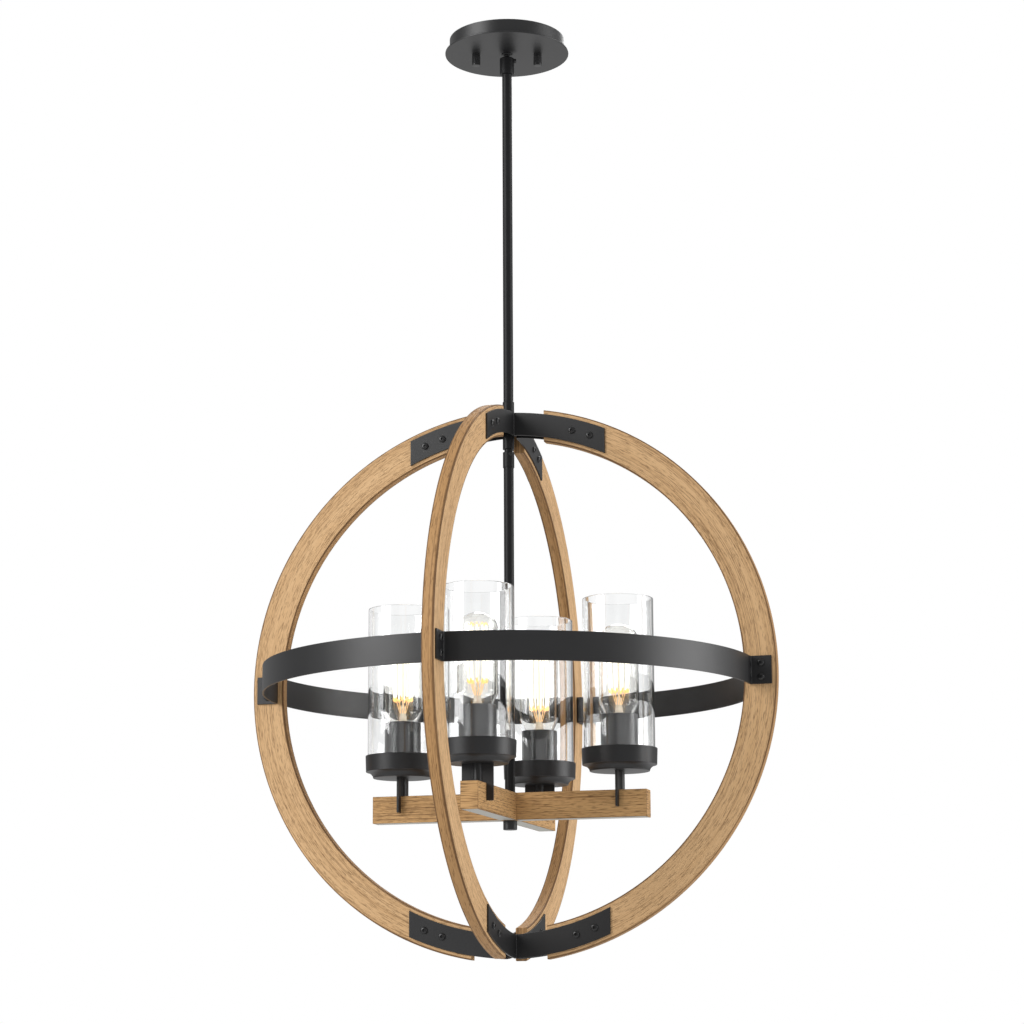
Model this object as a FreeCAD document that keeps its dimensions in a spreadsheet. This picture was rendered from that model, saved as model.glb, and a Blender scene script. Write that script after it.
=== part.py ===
import FreeCAD, Part
import math
import os
import Sketcher
from FreeCAD import Placement, Rotation, Vector

# Orb chandelier: four bent-wood ribs in two steel brackets and a steel band,
# hung on a rod from a ceiling canopy, with a four-lamp wooden cross inside.
# Millimetres. Origin: centre of the ceiling face. +Z up, +X along the right rib.

DOC = FreeCAD.newDocument("orb_chandelier")
SHEET = DOC.addObject("Spreadsheet::Sheet", "Dims")


class Size:
    """A length that knows its value and the sheet expression it comes from."""

    def __init__(self, value, text=None):
        self.value = float(value)
        self.text = repr(float(value)) if text is None else text

    def join(self, other, sign, value):
        return Size(value, f"({self.text} {sign} {other.text})")

    def __add__(self, other):
        other = as_size(other)
        return self.join(other, "+", self.value + other.value)

    def __sub__(self, other):
        other = as_size(other)
        return self.join(other, "-", self.value - other.value)

    def __mul__(self, other):
        other = as_size(other)
        return self.join(other, "*", self.value * other.value)

    def __truediv__(self, other):
        other = as_size(other)
        return self.join(other, "/", self.value / other.value)

    def __neg__(self):
        return Size(0.0) - self


def as_size(number):
    return number if isinstance(number, Size) else Size(number)


def root(size):
    return Size(math.sqrt(size.value), f"sqrt({size.text})")


def on_circle(radius, across):
    """Height on a circle of this radius at this distance from its centre line."""
    return root(radius * radius - across * across)


# Every plain number down to the clearances is a driving size of the sheet.

# ---- ceiling canopy ----
canopy_height = 17.5
canopy_disc_overhang = 5
canopy_disc_thickness = 2
canopy_pan_radius = 65
canopy_wall = 1.2
canopy_angle = 16.4
strap_length = 106
strap_width = 22
strap_thickness = 2.5
box_screw_spacing = 88.9
box_hole_radius = 2.5
stud_spacing = 69.85
stud_radius = 2
nut_radius = 4.85
nut_height = 13
nut_roof = 2
nut_chamfer = 0.6
knurl_count = 28
knurl_depth = 0.3

# ---- canopy swivel ----
bush_radius = 5
bush_rise = 6
bush_flange_radius = 6.2
bush_flange_thickness = 1
bush_nut_size = 7
bush_nut_thickness = 3
stem_radius = 3
stem_nut_size = 5
stem_nut_thickness = 3
swivel_drop = 7.4
swivel_ball_radius = 6.1
swivel_pin_radius = 1.5
swivel_head_radius = 2.6
swivel_head_thickness = 2.4
collar_radius = 8.15
collar_length = 19.3
collar_lip = 2.8
collar_rounding = 0.6
rod_socket = 8

# ---- rods and hub ----
rod_radius = 5.5
rod_bore = 3.8
rod_visible = 382
hub_radius = 6.35
hub_length = 54
hub_chamfer = 0.85
hub_socket = 10
hub_rise = 27.1125
web_reach = 17
web_height = 18
thread_radius = 4.5

# ---- knuckle between the hub and the lamp cross ----
knuckle_pin_drop = 6.2
knuckle_ball_radius = 5
knuckle_neck_radius = 3.6
knuckle_waist_radius = 4.6
knuckle_pin_radius = 1.2
knuckle_head_radius = 2.1
knuckle_head_thickness = 0.7
knuckle_radius = 6.3
knuckle_length = 17.5
knuckle_lip = 2.8
knuckle_rounding = 0.9
knuckle_socket = 6
knuckle_pin_angle = -55

# ---- wooden ribs ----
rib_radius = 302
rib_width = 35
rib_thickness = 12.7
rib_inset = 8
rib_end = 42
rib_easing = 1.2

# ---- bracket plates ----
plate_width = 25.4
plate_thickness = 2
plate_reach = 111
plate_bend = 1
bolt_near = 74
bolt_pitch = 20
bolt_radius = 2
bolt_head_radius = 3.8
bolt_head_height = 2.2
bolt_face_radius = 2.1
bolt_crown_height = 1.5
drive_size = 1.25
drive_depth = 1.2

# ---- steel band ----
band_inset = 6.8
band_height = 30
band_thickness = 2
tab_length = 23
band_bolt_pitch = 15

# ---- lamp cross ----
beam_reach = 152.4
beam_width = 19
beam_height = 29
cross_drop = 121.5
channel_width = 8
channel_depth = 7
cover_width = 17
cover_thickness = 1
cover_margin = 1.5
wire_bore = 3
finial_radius = 7.5
finial_height = 10
finial_wall = 2
finial_chamfer = 0.5
thread_end_gap = 2

# ---- lamps ----
lamp_radius = 121.5
fork_width = 34
fork_thickness = 2.6
fork_rise = 20
prong_length = 18
tube_radius = 4.9
tube_top = 9
cup_radius = 40.5
cup_foot_radius = 32.2
cup_flare = 0.6
cup_rounding = 1.3
cup_height = 24.5
cup_wall = 1.5
cup_seat = 9
cup_cove = 9
cup_cove_height = 6.8
cup_ledge = 4
socket_cover_radius = 19.75
socket_cover_height = 59
socket_cover_wall = 1
socket_radius = 17
socket_floor = 18
socket_rim_gap = 1
cap_radius = 13
cap_length = 26
cap_taper = 4.5
thread_turns = 5
thread_depth = 0.7
thread_margin = 1.5
bulb_radius = 21.5
bulb_neck_radius = 15.5
bulb_neck_length = 14
bulb_taper = 13
bulb_height = 138
bulb_dome = 17
bulb_wall = 1
mount_gap = 0.6
mount_skirt = 3
mount_radius = 3.2
mount_flare_height = 12
mount_height = 24
mount_tip_height = 6
post_radius = 0.9
post_height = 96
filament_count = 8
filament_ring_radius = 9.8
filament_radius = 0.8
filament_start = 36
filament_length = 57
spoke_radius = 0.4
shade_radius = 38.1
shade_height = 177
shade_wall = 2.2

# ---- clearances ----
running_gap = 0.05
ball_gap = 0.3
hole_gap = 0.1


def driving(name, value, row):
    """Write one driving size in the sheet and give it back as a Size."""
    SHEET.set(f"A{row}", name)
    SHEET.set(f"B{row}", str(value))
    SHEET.setAlias(f"B{row}", name)
    return Size(value, f"Dims.{name}")


plain_numbers = [name for name, value in globals().items() if isinstance(value, (int, float))]
for row, name in enumerate(plain_numbers, 1):
    globals()[name] = driving(name, globals()[name], row)
DOC.recompute()

# ---- levels, worked out from the sizes above ----
ZERO = Size(0.0)
swivel_level = -(canopy_height + swivel_drop)
collar_top = swivel_level + collar_lip
collar_bottom = collar_top - collar_length
hub_top = collar_bottom - rod_visible
rib_middle = rib_radius - rib_width / 2
hub_top_height = on_circle(rib_middle, rib_inset) + hub_rise
orb_level = hub_top - hub_top_height
hub_bottom = hub_top - hub_length
knuckle_level = hub_bottom - knuckle_pin_drop
knuckle_top = knuckle_level + knuckle_lip
knuckle_bottom = knuckle_top - knuckle_length
cross_level = orb_level - cross_drop
canopy_disc_radius = canopy_pan_radius + canopy_disc_overhang
half_rib = rib_thickness / 2
half_beam = beam_width / 2
band_radius = rib_radius - rib_width - rib_inset + band_inset
QUARTERS = range(4)
QUARTER_TURN = 90.0
BOTH_SIDES = (Size(1), Size(-1))
RIB_NAMES = ["right", "back", "left", "front"]
CORNER_NAMES = ["back_right", "back_left", "front_left", "front_right"]


class Outline:
    """A closed profile of lines and arcs, each vertex tied to the sheet."""

    def __init__(self, across, up):
        self.vertices = [(as_size(across), as_size(up))]
        self.arcs = {}

    def line(self, across, up):
        self.vertices.append((as_size(across), as_size(up)))
        return self

    def arc(self, across, up, radius, turns_left):
        """Go to the next vertex on an arc under half a circle."""
        self.arcs[len(self.vertices) - 1] = (as_size(radius), turns_left)
        return self.line(across, up)

    def arc_home(self, radius, turns_left):
        """Close the profile with an arc back to the first vertex."""
        self.arcs[len(self.vertices) - 1] = (as_size(radius), turns_left)
        return self


def flat(vertex):
    return Vector(vertex[0].value, vertex[1].value, 0)


def arc_between(start, end, radius, turns_left):
    """Counter-clockwise arc through both points, and whether it is walked backwards."""
    first, last = (start, end) if turns_left else (end, start)
    chord = last - first
    rise = math.sqrt(max(radius ** 2 - (chord.Length / 2) ** 2, 0.0))
    left = Vector(-chord.y, chord.x, 0).normalize()
    centre = (first + last) * 0.5 + left * rise
    begin = math.atan2(first.y - centre.y, first.x - centre.x)
    finish = math.atan2(last.y - centre.y, last.x - centre.x)
    circle = Part.Circle(centre, Vector(0, 0, 1), radius)
    return Part.ArcOfCircle(circle, begin, finish)


def tie(sketch, kind, where, size):
    """Add a dimension to a sketch and bind it to the sheet."""
    index = sketch.addConstraint(Sketcher.Constraint(kind, *where, size.value))
    if "Dims" in size.text:
        sketch.setExpression(f"Constraints[{index}]", size.text)


def new_sketch(body, role, shift=ZERO):
    """Sketch on one of the body's own origin planes, moved along its normal."""
    sketch = body.newObject("Sketcher::SketchObject", "Profile")
    plane = next(item for item in body.Origin.OriginFeatures if item.Role == role)
    sketch.AttachmentSupport = [(plane, "")]
    sketch.MapMode = "FlatFace"
    sketch.AttachmentOffset = Placement(Vector(0, 0, shift.value), Rotation())
    if "Dims" in shift.text:
        sketch.setExpression("AttachmentOffset.Base.z", shift.text)
    return sketch


def draw(body, role, outline, shift=ZERO):
    """Draw a closed outline in a new sketch."""
    sketch = new_sketch(body, role, shift)
    count = len(outline.vertices)
    ends = []
    for index in range(count):
        start = flat(outline.vertices[index])
        end = flat(outline.vertices[(index + 1) % count])
        if index in outline.arcs:
            radius, turns_left = outline.arcs[index]
            edge = sketch.addGeometry(arc_between(start, end, radius.value, turns_left))
            tie(sketch, "Radius", (edge,), radius)
            ends.append((edge, 1, 2) if turns_left else (edge, 2, 1))
        else:
            edge = sketch.addGeometry(Part.LineSegment(start, end))
            ends.append((edge, 1, 2))
    for index in range(count):
        edge, begin, finish = ends[index]
        following = ends[(index + 1) % count]
        sketch.addConstraint(Sketcher.Constraint("Coincident", edge, finish, following[0], following[1]))
        tie(sketch, "DistanceX", (edge, begin), outline.vertices[index][0])
        tie(sketch, "DistanceY", (edge, begin), outline.vertices[index][1])
    return sketch


def draw_circles(body, role, circles, shift=ZERO):
    """Draw circles given as (across, up, radius)."""
    sketch = new_sketch(body, role, shift)
    for across, up, radius in circles:
        centre = Vector(across.value, up.value, 0)
        edge = sketch.addGeometry(Part.Circle(centre, Vector(0, 0, 1), radius.value))
        tie(sketch, "Radius", (edge,), radius)
        tie(sketch, "DistanceX", (edge, 3), across)
        tie(sketch, "DistanceY", (edge, 3), up)
    return sketch


def rectangle(left, bottom, right, top):
    return Outline(left, bottom).line(right, bottom).line(right, top).line(left, top)


def new_body(label, level=ZERO, turn=0.0, spot=ZERO):
    """Body at a level on the axis, or at a distance from it, turned about the axis."""
    body = DOC.addObject("PartDesign::Body", label)
    body.Label = label
    spin = Rotation(Vector(0, 0, 1), turn)
    place = spin.multVec(Vector(spot.value, 0, 0))
    body.Placement = Placement(Vector(place.x, place.y, level.value), spin)
    if "Dims" in level.text:
        body.setExpression("Placement.Base.z", level.text)
    return body


def pad(body, sketch, length, symmetric=False, reverse=False):
    feature = body.newObject("PartDesign::Pad", "Pad")
    feature.Profile = sketch
    feature.Length = length.value
    feature.setExpression("Length", length.text)
    feature.SideType = "Symmetric" if symmetric else "One side"
    feature.Reversed = reverse
    return feature


def pocket_through(body, sketch):
    """Cut a profile right through the body, both ways."""
    feature = body.newObject("PartDesign::Pocket", "Cut")
    feature.Profile = sketch
    feature.Type = "ThroughAll"
    feature.SideType = "Symmetric"
    return feature


def pocket(body, sketch, depth, reverse=False):
    """Cut a profile to a depth; reverse cuts along the sketch's own normal."""
    feature = body.newObject("PartDesign::Pocket", "Cut")
    feature.Profile = sketch
    feature.Length = depth.value
    feature.setExpression("Length", depth.text)
    feature.Reversed = reverse
    return feature


def ease_long_edges(body, blank, radius):
    """Round the curved edges of a padded blank."""
    DOC.recompute()
    curved = [f"Edge{number}" for number, edge in enumerate(blank.Shape.Edges, 1)
              if isinstance(edge.Curve, Part.Circle)]
    feature = body.newObject("PartDesign::Fillet", "Eased")
    feature.Base = (blank, curved)
    feature.Radius = radius.value
    feature.setExpression("Radius", radius.text)


def revolve(body, outline):
    """Turn an outline (radius, height) about the body's Z axis."""
    sketch = draw(body, "XZ_Plane", outline)
    feature = body.newObject("PartDesign::Revolution", "Turned")
    feature.Profile = sketch
    feature.ReferenceAxis = (sketch, ["V_Axis"])
    feature.Angle = 360.0
    return feature


def turned_ring(label, inner, outer, bottom, top, level=ZERO, turn=0.0, spot=ZERO):
    """Plain tube or washer."""
    revolve(new_body(label, level, turn, spot), rectangle(inner, bottom, outer, top))


def group(label, shapes):
    """Loose pieces kept as separate solids of one node."""
    feature = DOC.addObject("Part::Feature", label)
    feature.Label = label
    feature.Shape = Part.makeCompound(shapes)
    feature.Placement = Placement()
    return feature


def turned_solid(points):
    """Solid of revolution about Z from (radius, height) numbers."""
    wire = Part.makePolygon([Vector(r, 0, z) for r, z in points + points[:1]])
    return Part.Face(wire).revolve(Vector(0, 0, 0), Vector(0, 0, 1), 360)


def at(shape, spot, spin=None):
    moved = shape.copy()
    moved.Placement = Placement(spot, spin or Rotation()).multiply(moved.Placement)
    return moved


# ---------------------------------------------------------------- canopy

def build_ceiling_strap():
    """Flat strap that screws to the ceiling box and carries the two studs."""
    body = new_body("ceiling_strap", turn=canopy_angle.value)
    plan = rectangle(-strap_length / 2, -strap_width / 2, strap_length / 2, strap_width / 2)
    pad(body, draw(body, "XY_Plane", plan), strap_thickness, reverse=True)
    holes = [(side * (stud_spacing / 2), ZERO, stud_radius) for side in BOTH_SIDES]
    holes += [(side * (box_screw_spacing / 2), ZERO, box_hole_radius) for side in BOTH_SIDES]
    holes.append((ZERO, ZERO, bush_radius))
    pocket_through(body, draw_circles(body, "XY_Plane", holes))


def build_canopy_pan():
    """Shallow pan with a straight wall and a wider flat disc under it."""
    body = new_body("canopy_pan", turn=canopy_angle.value)
    disc_top = canopy_disc_thickness - canopy_height
    profile = Outline(bush_radius + hole_gap, -canopy_height).line(canopy_disc_radius, -canopy_height)
    profile.line(canopy_disc_radius, disc_top).line(canopy_pan_radius, disc_top)
    profile.line(canopy_pan_radius, ZERO).line(canopy_pan_radius - canopy_wall, ZERO)
    profile.line(canopy_pan_radius - canopy_wall, disc_top).line(bush_radius + hole_gap, disc_top)
    revolve(body, profile)
    holes = [(side * (stud_spacing / 2), ZERO, stud_radius + hole_gap) for side in BOTH_SIDES]
    pocket_through(body, draw_circles(body, "XY_Plane", holes))


def along_strap(distance):
    angle = math.radians(canopy_angle.value)
    return Vector(distance * math.cos(angle), distance * math.sin(angle), 0)


def build_canopy_fasteners():
    """Two studs in the strap and the two knurled nuts that hold the canopy on them."""
    stud_end = -(canopy_height + nut_height - nut_roof).value
    stud = turned_solid([(0, 0), (stud_radius.value, 0), (stud_radius.value, stud_end), (0, stud_end)])
    nut_top = -canopy_height.value
    nut_end = nut_top - nut_height.value
    rim = nut_radius.value
    chamfer = nut_chamfer.value
    bore = (stud_radius + hole_gap).value
    nut = turned_solid([(0, stud_end), (bore, stud_end), (bore, nut_top), (rim, nut_top),
                        (rim, nut_end + chamfer), (rim - chamfer, nut_end), (0, nut_end)])
    spots = [along_strap(side * stud_spacing.value / 2) for side in (1, -1)]
    group("canopy_studs", [at(stud, spot) for spot in spots])
    group("knurled_nuts", [at(knurled(nut), spot) for spot in spots])


def knurled(nut):
    """A turned nut with straight knurling cut round it."""
    count = round(knurl_count.value)
    tip = nut_radius.value
    root_radius = tip - knurl_depth.value
    corners = []
    for step in range(count * 2):
        angle = math.pi * step / count
        reach = root_radius if step % 2 else tip
        spot = Vector(reach * math.cos(angle), reach * math.sin(angle), -canopy_height.value)
        corners.append(spot)
    teeth = Part.Face(Part.makePolygon(corners + corners[:1]))
    return nut.common(teeth.extrude(Vector(0, 0, -nut_height.value)))


def hexagon(size):
    """Hexagon with this distance from its centre to a flat."""
    corner = size / math.cos(math.radians(30))
    side = corner / 2
    plan = Outline(size, -side).line(size, side).line(ZERO, corner)
    return plan.line(-size, side).line(-size, -side).line(ZERO, -corner)


def hex_nut(label, size, bore, bottom, thickness):
    body = new_body(label, bottom, canopy_angle.value)
    pad(body, draw(body, "XY_Plane", hexagon(size)), thickness)
    pocket_through(body, draw_circles(body, "XY_Plane", [(ZERO, ZERO, bore)]))


def build_canopy_swivel():
    """Flanged bush in the canopy, and the ball stem that turns in it."""
    floor = canopy_disc_thickness - canopy_height
    bush_top = floor + bush_rise
    bore = stem_radius + running_gap
    body = new_body("canopy_bush")
    flange_low = -(canopy_height + bush_flange_thickness)
    profile = Outline(bore, flange_low).line(bush_flange_radius, flange_low)
    profile.line(bush_flange_radius, -canopy_height).line(bush_radius, -canopy_height)
    profile.line(bush_radius, bush_top).line(bore, bush_top)
    revolve(body, profile)
    hex_nut("bush_nut", bush_nut_size, bush_radius, floor, bush_nut_thickness)
    hex_nut("stem_nut", stem_nut_size, stem_radius, bush_top + running_gap, stem_nut_thickness)

    stem_top = bush_top + stem_nut_thickness + running_gap
    stem = new_body("swivel_stem", swivel_level, canopy_angle.value)
    ball_join = on_circle(swivel_ball_radius, stem_radius)
    profile = Outline(ZERO, -swivel_ball_radius)
    profile.arc(swivel_ball_radius, ZERO, swivel_ball_radius, True)
    profile.arc(stem_radius, ball_join, swivel_ball_radius, True)
    profile.line(stem_radius, stem_top - swivel_level).line(ZERO, stem_top - swivel_level)
    revolve(stem, profile)
    pin_hole = [(ZERO, ZERO, swivel_pin_radius + running_gap)]
    pocket_through(stem, draw_circles(stem, "YZ_Plane", pin_hole))


def socket_sleeve(label, radius, lip, length, ball, deep, bore, pin, level, turn, rounding):
    """Sleeve with a ball pocket above, a rod socket below and a cross pin hole."""
    body = new_body(label, level, turn)
    low = lip - length
    pocket_radius = ball + ball_gap
    floor = -(ball + ball_gap)
    profile = Outline(rod_bore, low + deep).line(bore, low + deep).line(bore, low)
    profile.line(radius, low).line(radius, lip - rounding)
    profile.arc(radius - rounding, lip, rounding, True)
    profile.line(pocket_radius, lip).line(pocket_radius, floor).line(rod_bore, floor)
    revolve(body, profile)
    pocket_through(body, draw_circles(body, "YZ_Plane", [(ZERO, ZERO, pin)]))


def cross_pin(label, pin, head, head_thickness, sleeve, level, turn):
    """Headed pin through a sleeve and the ball inside it."""
    body = new_body(label, level, turn)
    shank = draw_circles(body, "YZ_Plane", [(ZERO, ZERO, pin)], -sleeve)
    pad(body, shank, sleeve * 2)
    cap = draw_circles(body, "YZ_Plane", [(ZERO, ZERO, head)], sleeve)
    pad(body, cap, head_thickness)


# ---------------------------------------------------------------- rod and hub

def build_rod():
    """Collar with its pin, and the long tube that hangs from it."""
    turn = canopy_angle.value
    socket_sleeve("swivel_collar", collar_radius, collar_lip, collar_length, swivel_ball_radius,
                  rod_socket, rod_radius, swivel_pin_radius, swivel_level, turn, collar_rounding)
    cross_pin("swivel_pin", swivel_pin_radius, swivel_head_radius, swivel_head_thickness,
              collar_radius, swivel_level, turn)
    top = collar_bottom + rod_socket
    turned_ring("upper_rod", rod_bore, rod_radius, hub_top - hub_socket, top)


def build_hub():
    """Sleeve at the heart of the top bracket, with a cross of webs between the plates."""
    body = new_body("hub_sleeve", hub_top)
    seat = -hub_socket
    profile = Outline(rod_bore, -hub_length).line(hub_radius, -hub_length)
    profile.line(hub_radius, -hub_chamfer).line(rod_radius, ZERO)
    profile.line(rod_radius, seat).line(rod_bore, seat)
    revolve(body, profile)
    middle = -hub_rise
    for role in ("XZ_Plane", "YZ_Plane"):
        for side in BOTH_SIDES:
            web = rectangle(side * rod_radius, middle - web_height / 2,
                            side * web_reach, middle + web_height / 2)
            pad(body, draw(body, role, web), rib_thickness, symmetric=True)


def build_knuckle():
    """Ball stem under the hub, and the pinned knuckle that the lower rod hangs from."""
    turn = knuckle_pin_angle.value
    stem = new_body("knuckle_stem", knuckle_level, turn)
    join = on_circle(knuckle_ball_radius, knuckle_waist_radius)
    profile = Outline(ZERO, -knuckle_ball_radius)
    profile.arc(knuckle_ball_radius, ZERO, knuckle_ball_radius, True)
    profile.arc(knuckle_waist_radius, join, knuckle_ball_radius, True)
    profile.line(knuckle_waist_radius, knuckle_pin_drop).line(knuckle_neck_radius, knuckle_pin_drop)
    profile.line(knuckle_neck_radius, knuckle_pin_drop + hub_socket)
    profile.line(ZERO, knuckle_pin_drop + hub_socket)
    revolve(stem, profile)
    pin_hole = [(ZERO, ZERO, knuckle_pin_radius + running_gap)]
    pocket_through(stem, draw_circles(stem, "YZ_Plane", pin_hole))
    socket_sleeve("knuckle", knuckle_radius, knuckle_lip, knuckle_length, knuckle_ball_radius,
                  knuckle_socket, rod_radius, knuckle_pin_radius, knuckle_level, turn, knuckle_rounding)
    cross_pin("knuckle_pin", knuckle_pin_radius, knuckle_head_radius, knuckle_head_thickness,
              knuckle_radius, knuckle_level, turn)


def build_lower_rod():
    """Tube from the knuckle to the cross, with a threaded end through it."""
    body = new_body("lower_rod", cross_level)
    top = knuckle_bottom + knuckle_socket - cross_level
    tip = thread_end_gap + finial_wall - finial_height - beam_height
    profile = Outline(wire_bore, tip).line(thread_radius, tip).line(thread_radius, ZERO)
    profile.line(rod_radius, ZERO).line(rod_radius, top).line(wire_bore, top)
    revolve(body, profile)


def build_finial():
    """Round cap nut under the cross."""
    body = new_body("finial", cross_level - beam_height)
    roof = finial_wall - finial_height
    profile = Outline(ZERO, -finial_height).line(finial_radius - finial_chamfer, -finial_height)
    profile.line(finial_radius, finial_chamfer - finial_height).line(finial_radius, ZERO)
    profile.line(thread_radius, ZERO).line(thread_radius, roof).line(ZERO, roof)
    revolve(body, profile)


# ---------------------------------------------------------------- ribs, plates, band

def build_rib(quarter):
    """C-shaped rib of flat oak with upright ends, bored for its bolts."""
    body = new_body(f"wood_rib_{RIB_NAMES[quarter]}", orb_level, QUARTER_TURN * quarter)
    inner_radius = rib_radius - rib_width
    outer = on_circle(rib_radius, rib_end + rib_inset)
    inner = on_circle(inner_radius, rib_end + rib_inset)
    profile = Outline(rib_end, -outer)
    profile.arc(rib_radius - rib_inset, ZERO, rib_radius, True)
    profile.arc(rib_end, outer, rib_radius, True)
    profile.line(rib_end, inner)
    profile.arc(inner_radius - rib_inset, ZERO, inner_radius, False)
    profile.arc(rib_end, -inner, inner_radius, False)
    blank = pad(body, draw(body, "XZ_Plane", profile), rib_thickness, symmetric=True)
    ease_long_edges(body, blank, rib_easing)
    holes = [(across, up * side, bolt_radius) for across, up in bracket_bolt_spots()
             for side in BOTH_SIDES]
    holes += [(band_bolt_reach(), side * (band_bolt_pitch / 2), bolt_radius) for side in BOTH_SIDES]
    pocket_through(body, draw_circles(body, "XZ_Plane", holes))


def bracket_bolt_spots():
    """Bolt centres on the middle line of a rib, as (distance from the axis, height)."""
    reaches = (bolt_near, bolt_near + bolt_pitch)
    return [(reach, on_circle(rib_middle, reach + rib_inset)) for reach in reaches]


def band_bolt_reach():
    return band_radius + tab_length / 2


def plate_arm():
    """Side view of one plate arm: a strip that follows the rib."""
    outer_radius = rib_middle + plate_width / 2
    inner_radius = rib_middle - plate_width / 2
    start = half_rib + plate_thickness + plate_bend
    profile = Outline(start, on_circle(inner_radius, start + rib_inset))
    profile.arc(plate_reach, on_circle(inner_radius, plate_reach + rib_inset), inner_radius, False)
    profile.line(plate_reach, on_circle(outer_radius, plate_reach + rib_inset))
    profile.arc(start, on_circle(outer_radius, start + rib_inset), outer_radius, True)
    return profile


def build_plate(label, quarter, upside_down):
    """Corner plate bent round the hub, one arm on each of two neighbouring ribs."""
    body = DOC.addObject("PartDesign::Body", label)
    body.Label = label
    spin = Rotation(Vector(0, 0, 1), QUARTER_TURN * quarter)
    if upside_down:
        spin = spin.multiply(Rotation(Vector(1, 1, 0), 180.0))
    body.Placement = Placement(Vector(0, 0, orb_level.value), spin)
    body.setExpression("Placement.Base.z", orb_level.text)
    arm = plate_arm()
    low, high = arm.vertices[0][1], arm.vertices[-1][1]
    start = half_rib + plate_thickness + plate_bend
    outer_bend = plate_bend + plate_thickness
    bend = Outline(half_rib, start).arc(start, half_rib, outer_bend, True)
    bend.line(start, half_rib + plate_thickness)
    bend.arc(half_rib + plate_thickness, start, plate_bend, False)
    pad(body, draw(body, "XY_Plane", bend, low), high - low)
    pad(body, draw(body, "XZ_Plane", arm, -half_rib), plate_thickness, reverse=True)
    pad(body, draw(body, "YZ_Plane", arm, half_rib), plate_thickness)
    holes = [(across, up, bolt_radius) for across, up in bracket_bolt_spots()]
    for role in ("XZ_Plane", "YZ_Plane"):
        pocket_through(body, draw_circles(body, role, holes))


def build_band(quarter):
    """Quarter of the level steel band, its ends bent out as tabs on the ribs."""
    body = new_body(f"band_{CORNER_NAMES[quarter]}", orb_level, QUARTER_TURN * quarter)
    inner_radius = band_radius - band_thickness / 2
    outer_radius = band_radius + band_thickness / 2
    face = half_rib
    back = half_rib + band_thickness
    reach = band_radius + tab_length
    inner = on_circle(inner_radius, face)
    outer = on_circle(outer_radius, back)
    profile = Outline(inner, face).line(reach, face).line(reach, back).line(outer, back)
    profile.arc(back, outer, outer_radius, True)
    profile.line(back, reach).line(face, reach).line(face, inner).arc_home(inner_radius, False)
    pad(body, draw(body, "XY_Plane", profile), band_height, symmetric=True)
    holes = [(band_bolt_reach(), side * (band_bolt_pitch / 2), bolt_radius) for side in BOTH_SIDES]
    for role in ("XZ_Plane", "YZ_Plane"):
        pocket_through(body, draw_circles(body, role, holes))


def hex_drive(top):
    """Six-sided key socket sunk from this height."""
    corner = drive_size.value / math.cos(math.radians(30))
    floor = top - drive_depth.value
    turns = [math.radians(60 * step) for step in range(7)]
    corners = [Vector(corner * math.cos(turn), corner * math.sin(turn), floor) for turn in turns]
    return Part.Face(Part.makePolygon(corners)).extrude(Vector(0, 0, drive_depth.value))


def barrel_bolt(grip):
    """Barrel bolt lying along Y, with a socketed button head at each end."""
    half = grip / 2
    shank = bolt_radius.value
    head = bolt_head_radius.value
    face = bolt_face_radius.value
    top = half + bolt_head_height.value
    shoulder = top - bolt_crown_height.value
    points = [(0, -top), (face, -top), (head, -shoulder), (head, -half), (shank, -half),
              (shank, half), (head, half), (head, shoulder), (face, top), (0, top)]
    socket = hex_drive(top)
    other = at(socket, Vector(), Rotation(Vector(1, 0, 0), 180))
    upright = turned_solid(points).cut(socket).cut(other)
    return at(upright, Vector(), Rotation(Vector(1, 0, 0), QUARTER_TURN))


def build_bolts():
    """Barrel bolts through plates and ribs above and below, and through band and ribs."""
    plate_bolt = barrel_bolt((rib_thickness + plate_thickness * 2).value)
    band_bolt = barrel_bolt((rib_thickness + band_thickness * 2).value)
    centre = Vector(0, 0, orb_level.value)
    turns = [Rotation(Vector(0, 0, 1), QUARTER_TURN * quarter) for quarter in QUARTERS]
    reach = band_bolt_reach().value
    tab_spots = [Vector(reach, 0, side * band_bolt_pitch.value / 2) for side in (1, -1)]
    sets = [("band_bolts", band_bolt, tab_spots)]
    for label, side in (("top_bracket_bolts", 1), ("bottom_bracket_bolts", -1)):
        spots = [Vector(across.value, 0, up.value * side) for across, up in bracket_bolt_spots()]
        sets.append((label, plate_bolt, spots))
    for label, bolt, spots in sets:
        group(label, [at(bolt, centre + turn.multVec(spot), turn) for turn in turns for spot in spots])


# ---------------------------------------------------------------- lamp cross

def build_beam(label, turn, notch_from_below):
    """Oak beam, half lapped at the middle, with a wire channel and a cover recess below."""
    body = new_body(label, cross_level, turn)
    side_view = rectangle(-beam_reach, -beam_height, beam_reach, ZERO)
    pad(body, draw(body, "XZ_Plane", side_view), beam_width, symmetric=True)
    lap = (-beam_height, -beam_height / 2) if notch_from_below else (-beam_height / 2, ZERO)
    pocket_through(body, draw(body, "XZ_Plane", rectangle(-half_beam, lap[0], half_beam, lap[1])))
    bores = [(ZERO, ZERO, thread_radius + hole_gap)]
    bores += [(side * lamp_radius, ZERO, wire_bore) for side in BOTH_SIDES]
    pocket_through(body, draw_circles(body, "XY_Plane", bores))
    start = half_beam
    far = lamp_radius + channel_width / 2
    end = beam_reach - cover_margin
    for side in BOTH_SIDES:
        channel = rectangle(side * start, -channel_width / 2, side * far, channel_width / 2)
        pocket(body, draw(body, "XY_Plane", channel, -beam_height), channel_depth, reverse=True)
        recess = rectangle(side * start, -cover_width / 2, side * end, cover_width / 2)
        pocket(body, draw(body, "XY_Plane", recess, -beam_height), cover_thickness, reverse=True)


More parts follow.
